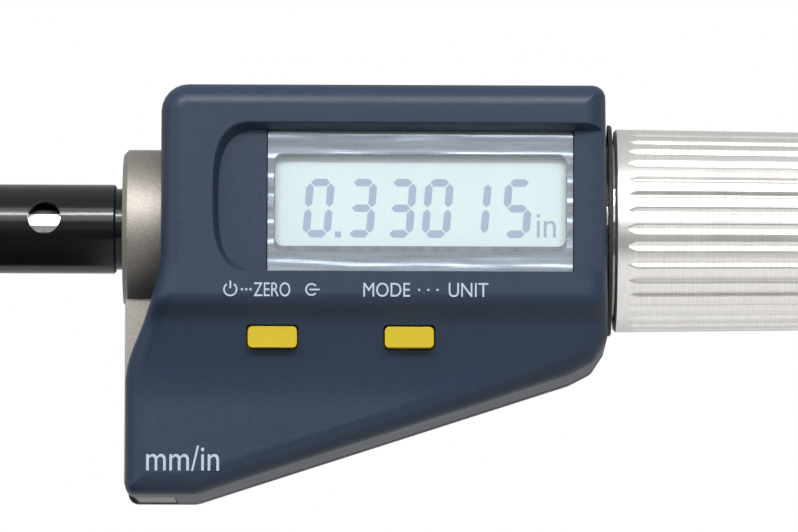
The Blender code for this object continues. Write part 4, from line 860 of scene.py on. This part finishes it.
    def openings(self, seam_side: float) -> list[bmesh.types.BMesh]:
        """The bodies that clear the collar, the arm and the sleeve's boss.

        Args:
            seam_side: How far past the seam the slots reach.

        Returns:
            The bodies.
        """
        collar_radius = self.collar_radius + self.fit
        boss_radius = self.boss_radius + self.fit
        start = self.collar - self.over
        end = self.collar + self.collar_length + self.fit
        wall, beyond = self.right - self.boss_length, self.right + 2 * self.over
        tools = [
            cylinder(collar_radius, start, end),
            cylinder(boss_radius, wall, beyond),
            block(
                (start, self.arm_front - self.fit, self.bottom - self.over),
                (self.collar + self.arm_width + self.fit, self.arm_back + self.fit, 0.0),
            ),
        ]
        if seam_side > 0:
            back = self.seam + seam_side
            tools.append(block((start, 0.0, -collar_radius), (end, back, collar_radius)))
            tools.append(block((wall, 0.0, -boss_radius), (beyond, back, boss_radius)))
        return tools

    def bay_outline(self, top: float, side: float, bottom: float) -> list[Point]:
        """The bay round the window, counter-clockwise from its upper right corner.

        Args:
            top: How far the upper edge lies inside the rim.
            side: How far the bulging left edge lies inside the rim.
            bottom: How far the lower edge lies inside the rim.

        Returns:
            The outline, with as many points whatever the insets.
        """
        low, high, left = self.bay_low + bottom, self.bay_high - top, self.collar + self.bay_left + side
        middle, half = (low + high) / 2, (high - low) / 2
        right = self.right + self.skew + self.over
        points = []
        for i in range(self.bay_steps + 1):
            angle = math.pi / 2 + math.pi * i / self.bay_steps
            bulge = self.bay_bulge * (1 + math.cos(angle)) ** 1.5
            points.append((left + bulge, middle + half * math.sin(angle)))
        return points + [(right, low), (right, high)]

    def bay(self) -> bmesh.types.BMesh:
        """The cutter of the bay, with leaning walls and a floor that runs up into the right rim.

        Returns:
            The cutter.
        """
        floor = self.front + self.bay_depth
        mouth = self.bay_outline(-0.12 * MM, -0.12 * MM, -0.06 * MM)
        shape = stacked([
            (mouth, self.front - self.over),
            (mouth, self.front),
            (self.bay_outline(0.04 * MM, 0.03 * MM, 0.0), self.front + self.bay_edge),
            (self.bay_outline(0.56 * MM, 0.42 * MM, 0.10 * MM), floor - self.bay_edge),
            (self.bay_outline(0.66 * MM, 0.50 * MM, 0.12 * MM), floor),
        ])
        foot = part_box("display_window")[1].x + self.bay_slice
        sliced(shape, [(foot + self.bay_slice * i, 0, 0) for i in range(9)], (1, 0, 0))
        run = self.right - foot
        for corner in shape.verts:
            share = max(0.0, min(1.0, (corner.co.x - foot) / run))
            if corner.co.y > self.front + 0.2 * MM:
                corner.co.y -= self.bay_lift * share * share
        bmesh.ops.recalc_face_normals(shape, faces=shape.faces)
        return shape

    def build(self) -> None:
        """Make the front and rear shells."""
        for name, node, cover in (
            ("moulded_front_cover", "front_cover", self.front_shell()),
            ("moulded_rear_cover", "rear_cover", self.rear_shell()),
        ):
            made = self.shop.piece(name, cover, node, angle=40.0)
            shading = made.modifiers.new("even_shading", "WEIGHTED_NORMAL")
            shading.keep_sharp = True

    def front_shell(self) -> bmesh.types.BMesh:
        """The front shell with its bay, window, button holes and slots.

        Returns:
            The shell.
        """
        fit, over, border = self.fit, self.over, self.glass_border
        window_low, window_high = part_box("display_window")
        mask_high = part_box("display_mask")[1]
        glass_low, glass_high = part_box("lcd_glass")
        wall_left, wall_low, wall_high = self.window_wall
        wall = block(
            (self.collar + wall_left, self.front, wall_low), (self.right, glass_low.y - fit, wall_high)
        )
        hollow = carve(self.shell(self.front_depth, self.seam + over, self.wall, 1), [wall])
        return carve(self.shell(self.front_depth, self.seam, 0.0, 1), [
            hollow,
            self.bay(),
            block(
                (window_low.x - fit, self.front - over, window_low.z - fit),
                (window_high.x + fit, mask_high.y + fit, window_high.z + fit),
            ),
            block(
                (glass_low.x + border, self.front - over, glass_low.z + border),
                (glass_high.x - border, glass_low.y + over, glass_high.z - border),
            ),
            *self.button_holes(),
            *self.openings(over),
        ])

    def rear_shell(self) -> bmesh.types.BMesh:
        """The rear shell with its battery well, screw holes and slots.

        Returns:
            The shell.
        """
        fit, over = self.fit, self.over
        start, back = self.rear_low.y, self.rear_high.y
        cap_low, cap_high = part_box("battery_cap")
        centre = (cap_low + cap_high) / 2
        radius = (cap_high.x - cap_low.x) / 2
        well = self.peg(centre, radius + self.cell_wall, self.well_start, back + over)
        tools = [
            carve(self.shell(self.back_depth, start - over, self.wall, -1), [well]),
            self.peg(centre, self.cell_radius, self.cell_start, back + over),
            self.peg(centre, self.plug_radius, self.plug_start, back + over),
            self.peg(centre, radius + fit, back - self.cap_depth, back + over),
            *self.openings(0.0),
        ]
        for i in range(1, 5):
            low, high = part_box(f"cover_screw_{i}")
            middle = (low + high) / 2
            face = back if middle.z > self.back_step else self.lower_back
            tools.append(self.peg(middle, self.screw_hole, start - over, face + over, 32))
            tools.append(self.peg(middle, self.screw_head + fit, face - self.screw_sink, face + over, 48))
        return carve(self.shell(self.back_depth, start, 0.0, -1), tools)

    def peg(
        self, place: Vector, radius: float, start: float, end: float, sides: int = 96
    ) -> bmesh.types.BMesh:
        """A cylinder along Y.

        Args:
            place: A point whose x and z it is centred on.
            radius: Its radius.
            start: Its lowest y.
            end: Its highest y.
            sides: How many sides it has.

        Returns:
            The cylinder.
        """
        shape = cylinder(radius, start, end, sides)
        turn = Matrix.Rotation(math.pi / 2, 4, "Z")
        bmesh.ops.transform(
            shape, matrix=Matrix.Translation((place.x, 0, place.z)) @ turn, verts=shape.verts
        )
        return shape

    def button_holes(self) -> list[bmesh.types.BMesh]:
        """The holes of the two buttons and the pockets of their flanges.

        Returns:
            The bodies to cut out.
        """
        tools = []
        edge, room = self.button_flange - self.button_gap, 3 * self.fit
        for i in (1, 2):
            low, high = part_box(f"button_{i}")
            tools.append(plate(
                panel(low.x + edge, low.z + edge, high.x - edge, high.z - edge),
                self.front - self.over, self.lower_front + 3 * self.over, self.button_round,
            ))
            inner = self.softened(self.front_depth, low.z) + self.button_wall
            tools.append(block((low.x - room, inner, low.z - room), (high.x + room, 0.0, high.z + room)))
        return tools


# ---------------------------------------------------------------- thimble, ratchet and tube
@dataclass
class Fluted:
    """A round grip with narrow V grooves along it."""

    shop: Shop
    node: str
    name: str
    flutes: int
    bore: float
    bore_end: float
    hole: float
    taper: float
    plain: float
    run_out: float
    half_width: float = math.radians(2.4)
    depth: float = 0.25 * MM
    edge: float = 0.25 * MM
    lanes: int = 12
    stations: int = 40
    fade_steps: int = 6

    def build(self) -> bpy.types.Object:
        """Make the grip.

        Returns:
            The piece.
        """
        low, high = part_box(self.node)
        first = high.z
        last = first - self.taper
        start, end = low.x, high.x

        def outer(x: float) -> float:
            """The grip's radius between its grooves.

            Args:
                x: The place along the axis.

            Returns:
                The radius.
            """
            return first + (last - first) * (x - start) / (end - start)

        steps, count = self.fade_steps, self.stations
        plain = end - start - 2 * self.edge
        along = {start + self.edge + plain * i / count for i in range(count + 1)}
        along |= {start + self.plain + self.run_out * i / steps for i in range(steps + 1)}
        along |= {end - self.plain - self.run_out * i / steps for i in range(steps + 1)}
        shape = turned([
            (start, self.bore), (start, first - self.edge),
            *((x, outer(x)) for x in sorted(along)),
            (end, last - self.edge), (end, self.hole), (self.bore_end, self.hole), (self.bore_end, self.bore),
        ], self.flutes * self.lanes)
        pitch = 2 * math.pi / self.flutes
        for corner in shape.verts:
            radius = math.hypot(corner.co.y, corner.co.z)
            inside = start + self.edge <= corner.co.x <= end - self.edge
            if not inside or radius < outer(corner.co.x) - 10 * WELD:
                continue
            near = min(corner.co.x - start, end - corner.co.x)
            full = max(0.0, min(1.0, (near - self.plain) / self.run_out))
            angle = math.atan2(corner.co.z, -corner.co.y)
            off = abs((angle / pitch) % 1.0 - 0.5) * pitch
            cut = full * max(0.0, 1 - off / (self.half_width * max(full, 0.05)))
            scale = (radius - self.depth * cut) / radius
            corner.co.y *= scale
            corner.co.z *= scale
        return self.shop.piece(self.name, shape, self.node, angle=30.0)


@dataclass
class TurnedParts:
    """The tube with its wrench hole and the dark ring in front of the thimble."""

    shop: Shop
    sides: int = 128
    taper: float = 4.0 * MM
    tip: float = 3.6 * MM
    bore: float = 3.45 * MM
    tip_edge: float = 0.1 * MM
    edge: float = 0.2 * MM
    step: float = 0.2 * MM
    neck: float = 0.75 * MM
    hole_back: float = 7.85 * MM
    hole_radius: float = 1.65 * MM
    hole_reach: float = 2.0 * MM
    hole_tilt: float = math.radians(10.0)
    ring_bore: float = 8.72 * MM
    ring_edge: float = 0.15 * MM

    def build(self) -> None:
        """Make the tube and the ring."""
        low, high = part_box("extension_tube")
        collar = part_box("frame_bracket")[0].x
        radius, neck_radius = high.z, high.z - self.step - self.edge
        end = collar - self.neck
        tube = turned([
            (low.x, self.bore), (low.x, self.tip - self.tip_edge), (low.x + self.tip_edge, self.tip),
            (low.x + self.taper, radius), (end - self.edge, radius), (end, radius - self.edge),
            (end, neck_radius), (high.x, neck_radius), (high.x, self.bore),
        ], self.sides)
        hole = cylinder(self.hole_radius, 0.0, radius + self.hole_reach, 64)
        turn = Matrix.Rotation(-math.pi / 2, 4, "Z")
        tilt = Matrix.Rotation(-self.hole_tilt, 4, "X")
        place = Matrix.Translation((collar - self.hole_back, 0, 0))
        bmesh.ops.transform(hole, matrix=place @ tilt @ turn, verts=hole.verts)
        self.shop.piece("blackened_tube", carve(tube, [hole]), "extension_tube")

        low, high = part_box("thimble_seal_ring")
        self.shop.piece("seal_ring", turned([
            (low.x, self.ring_bore), (low.x, high.z), (high.x - self.ring_edge, high.z),
            (high.x, high.z - self.ring_edge), (high.x, self.ring_bore),
        ], self.sides), "thimble_seal_ring")


# ---------------------------------------------------------------- display and markings
class Segment(Enum):
    """The seven bars of a digit, as (x, z) ends on a grid one wide and two high."""

    TOP = ((0, 2), (1, 2))
    UPPER_RIGHT = ((1, 2), (1, 1))
    LOWER_RIGHT = ((1, 1), (1, 0))
    BOTTOM = ((0, 0), (1, 0))
    LOWER_LEFT = ((0, 0), (0, 1))
    UPPER_LEFT = ((0, 1), (0, 2))
    MIDDLE = ((0, 1), (1, 1))


DIGITS: dict[str, tuple[Segment, ...]] = {
    "0": tuple(s for s in Segment if s is not Segment.MIDDLE),
    "1": (Segment.UPPER_RIGHT, Segment.LOWER_RIGHT),
    "3": tuple(s for s in Segment if s not in (Segment.UPPER_LEFT, Segment.LOWER_LEFT)),
    "5": tuple(s for s in Segment if s not in (Segment.UPPER_RIGHT, Segment.LOWER_LEFT)),
}


@dataclass
class Display:
    """The liquid crystal reading, its silvery film and the printed markings."""

    shop: Shop
    height: float = 5.84 * MM
    width: float = 2.8 * MM
    bar: float = 0.74 * MM
    gap: float = 0.1 * MM
    slant: float = math.tan(math.radians(4.5))
    ink: float = 0.02 * MM
    reading: tuple[tuple[str, float], ...] = (
        ("0", 17.90), ("3", 22.11), ("3", 26.02), ("0", 29.67), ("1", 33.44), ("5", 37.57),
    )
    baseline: float = -1.76 * MM
    dot_left: float = 21.15 * MM
    dot_size: float = 0.6 * MM
    unit_box: tuple[float, ...] = (41.1 * MM, 0.05 * MM, 2.35 * MM, 1.9 * MM)
    glass_border: float = 0.7 * MM
    opening_round: float = 0.8 * MM
    line_low: float = -8.0 * MM
    line_high: float = -6.6 * MM
    stroke: float = 0.16 * MM
    words: tuple[tuple[str, float, float], ...] = (
        ("ZERO", 13.2, 3.6), ("MODE", 24.0, 4.6), ("UNIT", 32.4, 3.9),
    )
    dots: tuple[Point, ...] = ((11.95, 0.42), (29.4, 0.9))
    dot_mark: float = 0.2 * MM

    def bar_shape(self, segment: Segment, left: float, depth: float) -> bmesh.types.BMesh:
        """One mitred bar of a digit.

        Args:
            segment: Which bar.
            left: The digit's left edge.
            depth: The y of its back.

        Returns:
            The bar.
        """
        half = self.bar / 2
        inner_width, inner_height = self.width - self.bar, (self.height - self.bar) / 2
        (x1, z1), (x2, z2) = segment.value
        start = Vector((half + x1 * inner_width, half + z1 * inner_height))
        end = Vector((half + x2 * inner_width, half + z2 * inner_height))
        along = (end - start).normalized()
        across = Vector((-along.y, along.x)) * half
        start, end = start + along * self.gap, end - along * self.gap
        tip = along * half
        points = [
            start, start + tip - across, end - tip - across, end, end - tip + across, start + tip + across,
        ]
        placed = [(left + p.x + p.y * self.slant, self.baseline + p.y) for p in points]
        return plate(placed, depth - self.ink, depth)

    def text(
        self, words: str, left: float, low: float, height: float, depth: float, width: float
    ) -> bmesh.types.BMesh:
        """Words as thin raised ink.

        Args:
            words: What it says.
            left: Its left edge.
            low: Its lowest z.
            height: Its height.
            depth: The y of the surface it lies on.
            width: Its width.

        Returns:
            The ink.
        """
        curve = bpy.data.curves.new("ink", "FONT")
        curve.body = words
        curve.extrude = 0.5
        guide = bpy.data.objects.new("ink", curve)
        bpy.context.scene.collection.objects.link(guide)
        bpy.context.view_layer.update()
        mesh = bpy.data.meshes.new_from_object(guide.evaluated_get(bpy.context.evaluated_depsgraph_get()))
        bpy.data.objects.remove(guide, do_unlink=True)
        shape = bmesh.new()
        shape.from_mesh(mesh)
        bmesh.ops.remove_doubles(shape, verts=shape.verts, dist=10 * WELD)
        xs = [v.co.x for v in shape.verts]
        ys = [v.co.y for v in shape.verts]
        across, up = width / (max(xs) - min(xs)), height / (max(ys) - min(ys))
        first, base = min(xs), min(ys)
        for corner in shape.verts:
            x, y, z = corner.co
            corner.co = (left + (x - first) * across, depth - self.ink * (0.5 + z), low + (y - base) * up)
        bmesh.ops.recalc_face_normals(shape, faces=shape.faces)
        return shape

    def arc_mark(
        self, centre: Point, radius: float, start: float, end: float, depth: float
    ) -> bmesh.types.BMesh:
        """A thin arc of ink.

        Args:
            centre: Its centre, as x and z.
            radius: Radius of its middle line.
            start: First angle in degrees.
            end: Last angle in degrees.
            depth: The y of the surface it lies on.

        Returns:
            The ink.
        """
        shape = bmesh.new()
        near, far = radius - self.stroke / 2, radius + self.stroke / 2
        corners = [(near, depth - self.ink), (far, depth - self.ink), (far, depth), (near, depth)]
        bmesh.ops.contextual_create(shape, geom=[shape.verts.new((x, y, 0.0)) for x, y in corners])
        first = Matrix.Rotation(math.radians(-start), 4, "Y")
        bmesh.ops.transform(shape, matrix=first, verts=shape.verts)
        bmesh.ops.spin(
            shape, geom=shape.faces[:] + shape.edges[:] + shape.verts[:], cent=(0, 0, 0), axis=(0, -1, 0),
            angle=math.radians(end - start), steps=28, use_merge=False, use_duplicate=False,
        )
        bmesh.ops.translate(shape, vec=(centre[0], 0, centre[1]), verts=shape.verts)
        bmesh.ops.remove_doubles(shape, verts=shape.verts, dist=WELD / 10)
        bmesh.ops.holes_fill(shape, edges=[edge for edge in shape.edges if not edge.is_manifold])
        bmesh.ops.recalc_face_normals(shape, faces=shape.faces)
        return shape

    def crumple(self, film: bmesh.types.BMesh, low: Vector, high: Vector) -> None:
        """Give the film's front the long, shallow waves of a badly laid foil.

        Args:
            film: The flat film.
            low: The film's lowest corner.
            high: The film's highest corner.
        """
        rows, columns = 60, 40
        up, across = (high.z - low.z) / rows, (high.x - low.x) / columns
        sliced(film, [(0, 0, low.z + up * i) for i in range(1, rows)], (0, 0, 1))
        sliced(film, [(low.x + across * i, 0, 0) for i in range(1, columns)], (1, 0, 0))
        middle = (low.y + high.y) / 2
        for corner in film.verts:
            if corner.co.y > middle:
                continue
            x, z = corner.co.x / MM, corner.co.z / MM
            wave = math.sin(2.9 * z + 0.35 * math.sin(0.31 * x) + 0.6)
            ripple = math.sin(6.7 * z + 0.9 * math.sin(0.47 * x + 1.0) + 0.13 * x)
            cross = math.sin(1.9 * x + 0.8 * z)
            corner.co.y += (0.028 * wave + 0.010 * ripple + 0.006 * cross) * MM
        bmesh.ops.recalc_face_normals(film, faces=film.faces)

    def build(self) -> None:
        """Make the reading, the film and the markings."""
        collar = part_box("frame_bracket")[0].x
        self.shop.piece("display_reading", self.figures(collar), "lcd_glass", DISPLAY_INK, replace=False)
        self.film()
        marks, lower = self.markings(collar)
        self.shop.piece("front_markings", marks, "front_cover", LABEL_INK, replace=False)
        self.shop.piece("lower_marking", lower, "front_cover", LABEL_INK, replace=False)

    def figures(self, collar: float) -> bmesh.types.BMesh:
        """The digits of the reading, with its point and its unit.

        Args:
            collar: The x of the collar's left face.

        Returns:
            The ink.
        """
        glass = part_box("lcd_glass")[0].y - 0.01 * MM
        bars = [
            self.bar_shape(segment, collar + left * MM, glass)
            for digit, left in self.reading for segment in DIGITS[digit]
        ]
        dot, size = collar + self.dot_left, self.dot_size
        bars.append(plate(
            panel(dot, self.baseline, dot + size, self.baseline + size), glass - self.ink, glass, 0.1 * MM
        ))
        left, lift, height, width = self.unit_box
        bars.append(self.text("in", collar + left, self.baseline + lift, height, glass, width))
        return joined(bars)

    def film(self) -> None:
        """Make the silvery film round the glass and a dark band of painted shade at its opening, which stands
        in for the shadow round the recessed glass and is widest below it.
        """
        low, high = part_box("display_mask")
        glass_low, glass_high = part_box("lcd_glass")
        border, corner = self.glass_border, self.opening_round
        left, base = glass_low.x + border, glass_low.z + border
        right, top = glass_high.x - border, glass_high.z - border
        past = 1.0 * MM
        around = plate(panel(low.x, low.z, high.x, high.z), low.y, high.y, 0.12 * MM)
        # painted shade: a thin dark band round the opening, widest at the bottom, stands in for the shadow
        # where the film meets the recessed glass
        line = plate(
            panel(left - 0.12 * MM, base - 0.5 * MM, right + 0.12 * MM, top + 0.14 * MM),
            low.y - 0.08 * MM, low.y - 0.06 * MM, corner,
        )
        around, line = (
            carve(body, [plate(panel(left, base, right, top), low.y - past, high.y + past, corner)])
            for body in (around, line)
        )
        self.crumple(around, low, high)
        self.shop.piece("silver_film", around, "display_mask", angle=60.0)
        self.shop.piece("film_painted_shade", line, "display_mask", PAINTED_SHADE_BAND, replace=False)

    def markings(self, collar: float) -> tuple[bmesh.types.BMesh, bmesh.types.BMesh]:
        """The generic words and signs on the front cover.

        Args:
            collar: The x of the collar's left face.

        Returns:
            The ink under the display, and the ink low on the cover.
        """
        front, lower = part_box("front_cover")[0].y - 0.002 * MM, -8.5 * MM - 0.004 * MM
        low, line = self.line_low, self.stroke
        height, middle = self.line_high - low, (low + self.line_high) / 2
        power = (collar + 10.9 * MM, middle)
        shapes = [
            self.arc_mark(power, 0.62 * MM, 125, 415, front),
            self.raised(power[0] - line / 2, middle + 0.1 * MM, line, 0.75 * MM, front),
            self.arc_mark((collar + 18.9 * MM, middle), 0.55 * MM, 40, 320, front),
            self.raised(collar + 18.7 * MM, middle - line / 2, 1.0 * MM, line, front),
        ]
        shapes += [
            self.text(word, collar + left * MM, low, height, front, width * MM)
            for word, left, width in self.words
        ]
        size = self.dot_mark
        shapes += [
            self.raised(collar + (start + step * i) * MM, middle - size / 2, size, size, front)
            for start, step in self.dots for i in range(3)
        ]
        return joined(shapes), self.text("mm/in", collar + 2.6 * MM, -24.9 * MM, 2.5 * MM, lower, 7.2 * MM)

    def raised(
        self, left: float, low: float, width: float, height: float, depth: float
    ) -> bmesh.types.BMesh:
        """A small rectangle of ink.

        Args:
            left: Its lowest x.
            low: Its lowest z.
            width: Its width.
            height: Its height.
            depth: The y of the surface it lies on.

        Returns:
            The ink.
        """
        return block((left, depth - self.ink, low), (left + width, depth, low + height))


# ---------------------------------------------------------------- studio
@dataclass
class Studio:
    """The floor, the lights and the camera."""

    target: Place = (0.08575, 0.0, -0.0036)
    distance: float = 0.85
    elevation: float = math.radians(-6.0)
    roll: float = math.radians(-0.2)
    lens: float = 383.5
    floor: float = -0.11
    floor_size: float = 30.0
    ambient: float = 0.50
    zenith: float = 0.62
    bounce: float = 0.28
    mirrored: float = 0.70
    glow: float = 0.60
    panels: tuple[tuple[str, Place, Point, float], ...] = (
        ("key_panel", (0.086, -0.62, 0.40), (0.85, 0.46), 3.1),
        ("strip", (0.086, -0.60, 0.405), (0.9, 0.035), 4.6),
        ("left_panel", (-0.55, -0.35, 0.15), (0.3, 0.5), 0.7),
    )
    slanted_card: tuple[Place, ...] = (
        (-0.5, -0.34, -0.045), (0.7, -0.34, -0.045), (0.7, -0.17, -0.105), (-0.5, -0.17, -0.105),
    )
    flat_card: tuple[Place, ...] = (
        (-0.5, -0.17, -0.105), (0.052, -0.17, -0.105), (0.052, 0.05, -0.105), (-0.5, 0.05, -0.105),
    )

    def light(self, name: str, place: Place, size: Point, power: float) -> None:
        """Add a soft panel that points at the object.

        Args:
            name: Its name.
            place: Where it stands.
            size: Its width and height.
            power: Its power in watts.
        """
        data = bpy.data.lights.new(name, "AREA")
        data.shape = "RECTANGLE"
        data.size, data.size_y = size
        data.energy = power
        lamp = bpy.data.objects.new(name, data)
        lamp.location = place
        lamp.rotation_mode = "QUATERNION"
        lamp.rotation_quaternion = (Vector(self.target) - Vector(place)).to_track_quat("-Z", "Y")
        lamp.visible_camera = False
        bpy.context.scene.collection.objects.link(lamp)

    def flag(self) -> None:
        """Add the dark card that shows only in reflections, in front of the object and below the tube."""
        shape = bmesh.new()
        for corners in (self.slanted_card, self.flat_card):
            bmesh.ops.contextual_create(shape, geom=[shape.verts.new(corner) for corner in corners])
        card = as_object("dark_card", shape)
        card.data.materials.append(BLACK_RUBBER.make())
        card.visible_camera = False
        card.visible_diffuse = False
        card.visible_shadow = False
        card.visible_transmission = False

    def floor_look(self) -> bpy.types.Material:
        """The pale floor, which throws back less light than it shows and glows for the camera alone.

        Returns:
            The material.
        """
        made = STUDIO_FLOOR.make()
        nodes, links = made.node_tree.nodes, made.node_tree.links
        shader = nodes["Principled BSDF"]
        shown = shader.inputs["Base Color"].links[0].from_socket
        path = nodes.new("ShaderNodeLightPath")
        thrown = nodes.new("ShaderNodeMix")
        thrown.data_type = "RGBA"
        thrown.inputs["A"].default_value = (*[self.bounce] * 3, 1.0)
        thrown.inputs["B"].default_value = (*[self.mirrored] * 3, 1.0)
        links.new(path.outputs["Is Glossy Ray"], thrown.inputs["Factor"])
        mix = nodes.new("ShaderNodeMix")
        mix.data_type = "RGBA"
        links.new(path.outputs["Is Camera Ray"], mix.inputs["Factor"])
        links.new(thrown.outputs["Result"], mix.inputs["A"])
        links.new(shown, mix.inputs["B"])
        links.new(mix.outputs["Result"], shader.inputs["Base Color"])
        lit = nodes.new("ShaderNodeMath")
        lit.operation = "MULTIPLY"
        lit.inputs[1].default_value = self.glow
        links.new(path.outputs["Is Camera Ray"], lit.inputs[0])
        links.new(lit.outputs["Value"], shader.inputs["Emission Strength"])
        shader.inputs["Emission Color"].default_value = (1.0, 1.0, 1.0, 1.0)
        return made

    def sky(self) -> bpy.types.World:
        """A white backdrop that lights the object less strongly than it shows.

        Returns:
            The world.
        """
        world = bpy.data.worlds.new("studio")
        world.use_nodes = True
        nodes, links = world.node_tree.nodes, world.node_tree.links
        background = nodes["Background"]
        background.inputs["Color"].default_value = (1.0, 1.0, 1.0, 1.0)
        path = nodes.new("ShaderNodeLightPath")
        place = nodes.new("ShaderNodeTexCoord")
        split = nodes.new("ShaderNodeSeparateXYZ")
        height = nodes.new("ShaderNodeMapRange")
        height.inputs["To Min"].default_value = self.ambient
        height.inputs["To Max"].default_value = self.zenith
        strength = nodes.new("ShaderNodeMix")
        strength.inputs["B"].default_value = 1.0
        links.new(place.outputs["Generated"], split.inputs["Vector"])
        links.new(split.outputs["Z"], height.inputs["Value"])
        links.new(height.outputs["Result"], strength.inputs["A"])
        links.new(path.outputs["Is Camera Ray"], strength.inputs["Factor"])
        links.new(strength.outputs["Result"], background.inputs["Strength"])
        return world

    def build(self) -> None:
        """Make the floor, the lights and the camera."""
        scene = bpy.context.scene
        scene.view_settings.view_transform = "Standard"
        scene.world = self.sky()
        shape = bmesh.new()
        bmesh.ops.create_grid(shape, x_segments=2, y_segments=2, size=self.floor_size)
        bmesh.ops.translate(shape, vec=(0, 0, self.floor), verts=shape.verts)
        floor = as_object("studio_floor", shape)
        floor.data.materials.append(self.floor_look())
        self.flag()
        for name, place, size, power in self.panels:
            self.light(name, place, size, power)
        self.camera(scene)

    def camera(self, scene: bpy.types.Scene) -> None:
        """Add the camera, level with the object's front and a little below it.

        Args:
            scene: The scene that looks through it.
        """
        data = bpy.data.cameras.new("camera")
        data.lens = self.lens
        data.sensor_width = 36.0
        data.clip_start, data.clip_end = 0.01, 100.0
        camera = bpy.data.objects.new("camera", data)
        back = Vector((0.0, -math.cos(self.elevation), math.sin(self.elevation)))
        camera.location = Vector(self.target) + back * self.distance
        camera.rotation_mode = "QUATERNION"
        aim = (-back).to_track_quat("-Z", "Y")
        camera.rotation_quaternion = aim @ Matrix.Rotation(-self.roll, 4, "Z").to_quaternion()
        scene.collection.objects.link(camera)
        scene.camera = camera


BROKEN_EDGES = {
    "frame_bracket": 0.12 * MM,
    **dict.fromkeys(("head_end_cap", "anvil_1", "anvil_2", "anvil_3"), 0.05 * MM),
    **dict.fromkeys(("button_1", "button_2"), 0.14 * MM),
    **dict.fromkeys(("battery_cap", *(f"cover_screw_{i}" for i in range(1, 5))), 0.08 * MM),
}


def main() -> None:
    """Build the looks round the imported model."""
    logging.basicConfig(level=logging.INFO, format="%(message)s")
    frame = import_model()
    shop = Shop(frame)
    shop.dress_nodes()
    Studio().build()
    Housing(shop).build()
    TurnedParts(shop).build()
    Fluted(
        shop, "thimble", "fluted_thimble", flutes=36, bore=8.75 * MM,
        bore_end=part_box("thimble")[1].x - 1.9 * MM, hole=3.08 * MM, taper=0.59 * MM, plain=1.2 * MM,
        run_out=0.9 * MM,
    ).build()
    Fluted(
        shop, "ratchet_knob", "ribbed_knob", flutes=24, bore=3.08 * MM,
        bore_end=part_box("ratchet_knob")[0].x + 2.0 * MM, hole=5.2 * MM, taper=0.0, plain=1.0 * MM,
        run_out=0.5 * MM, half_width=math.radians(3.6), depth=0.3 * MM, edge=0.3 * MM,
    ).build()
    Display(shop).build()
    for node, width in BROKEN_EDGES.items():
        shop.refine(node, width)
    shop.stretch("return_spring", "housing", "feed")


if __name__ == "__main__":
    main()
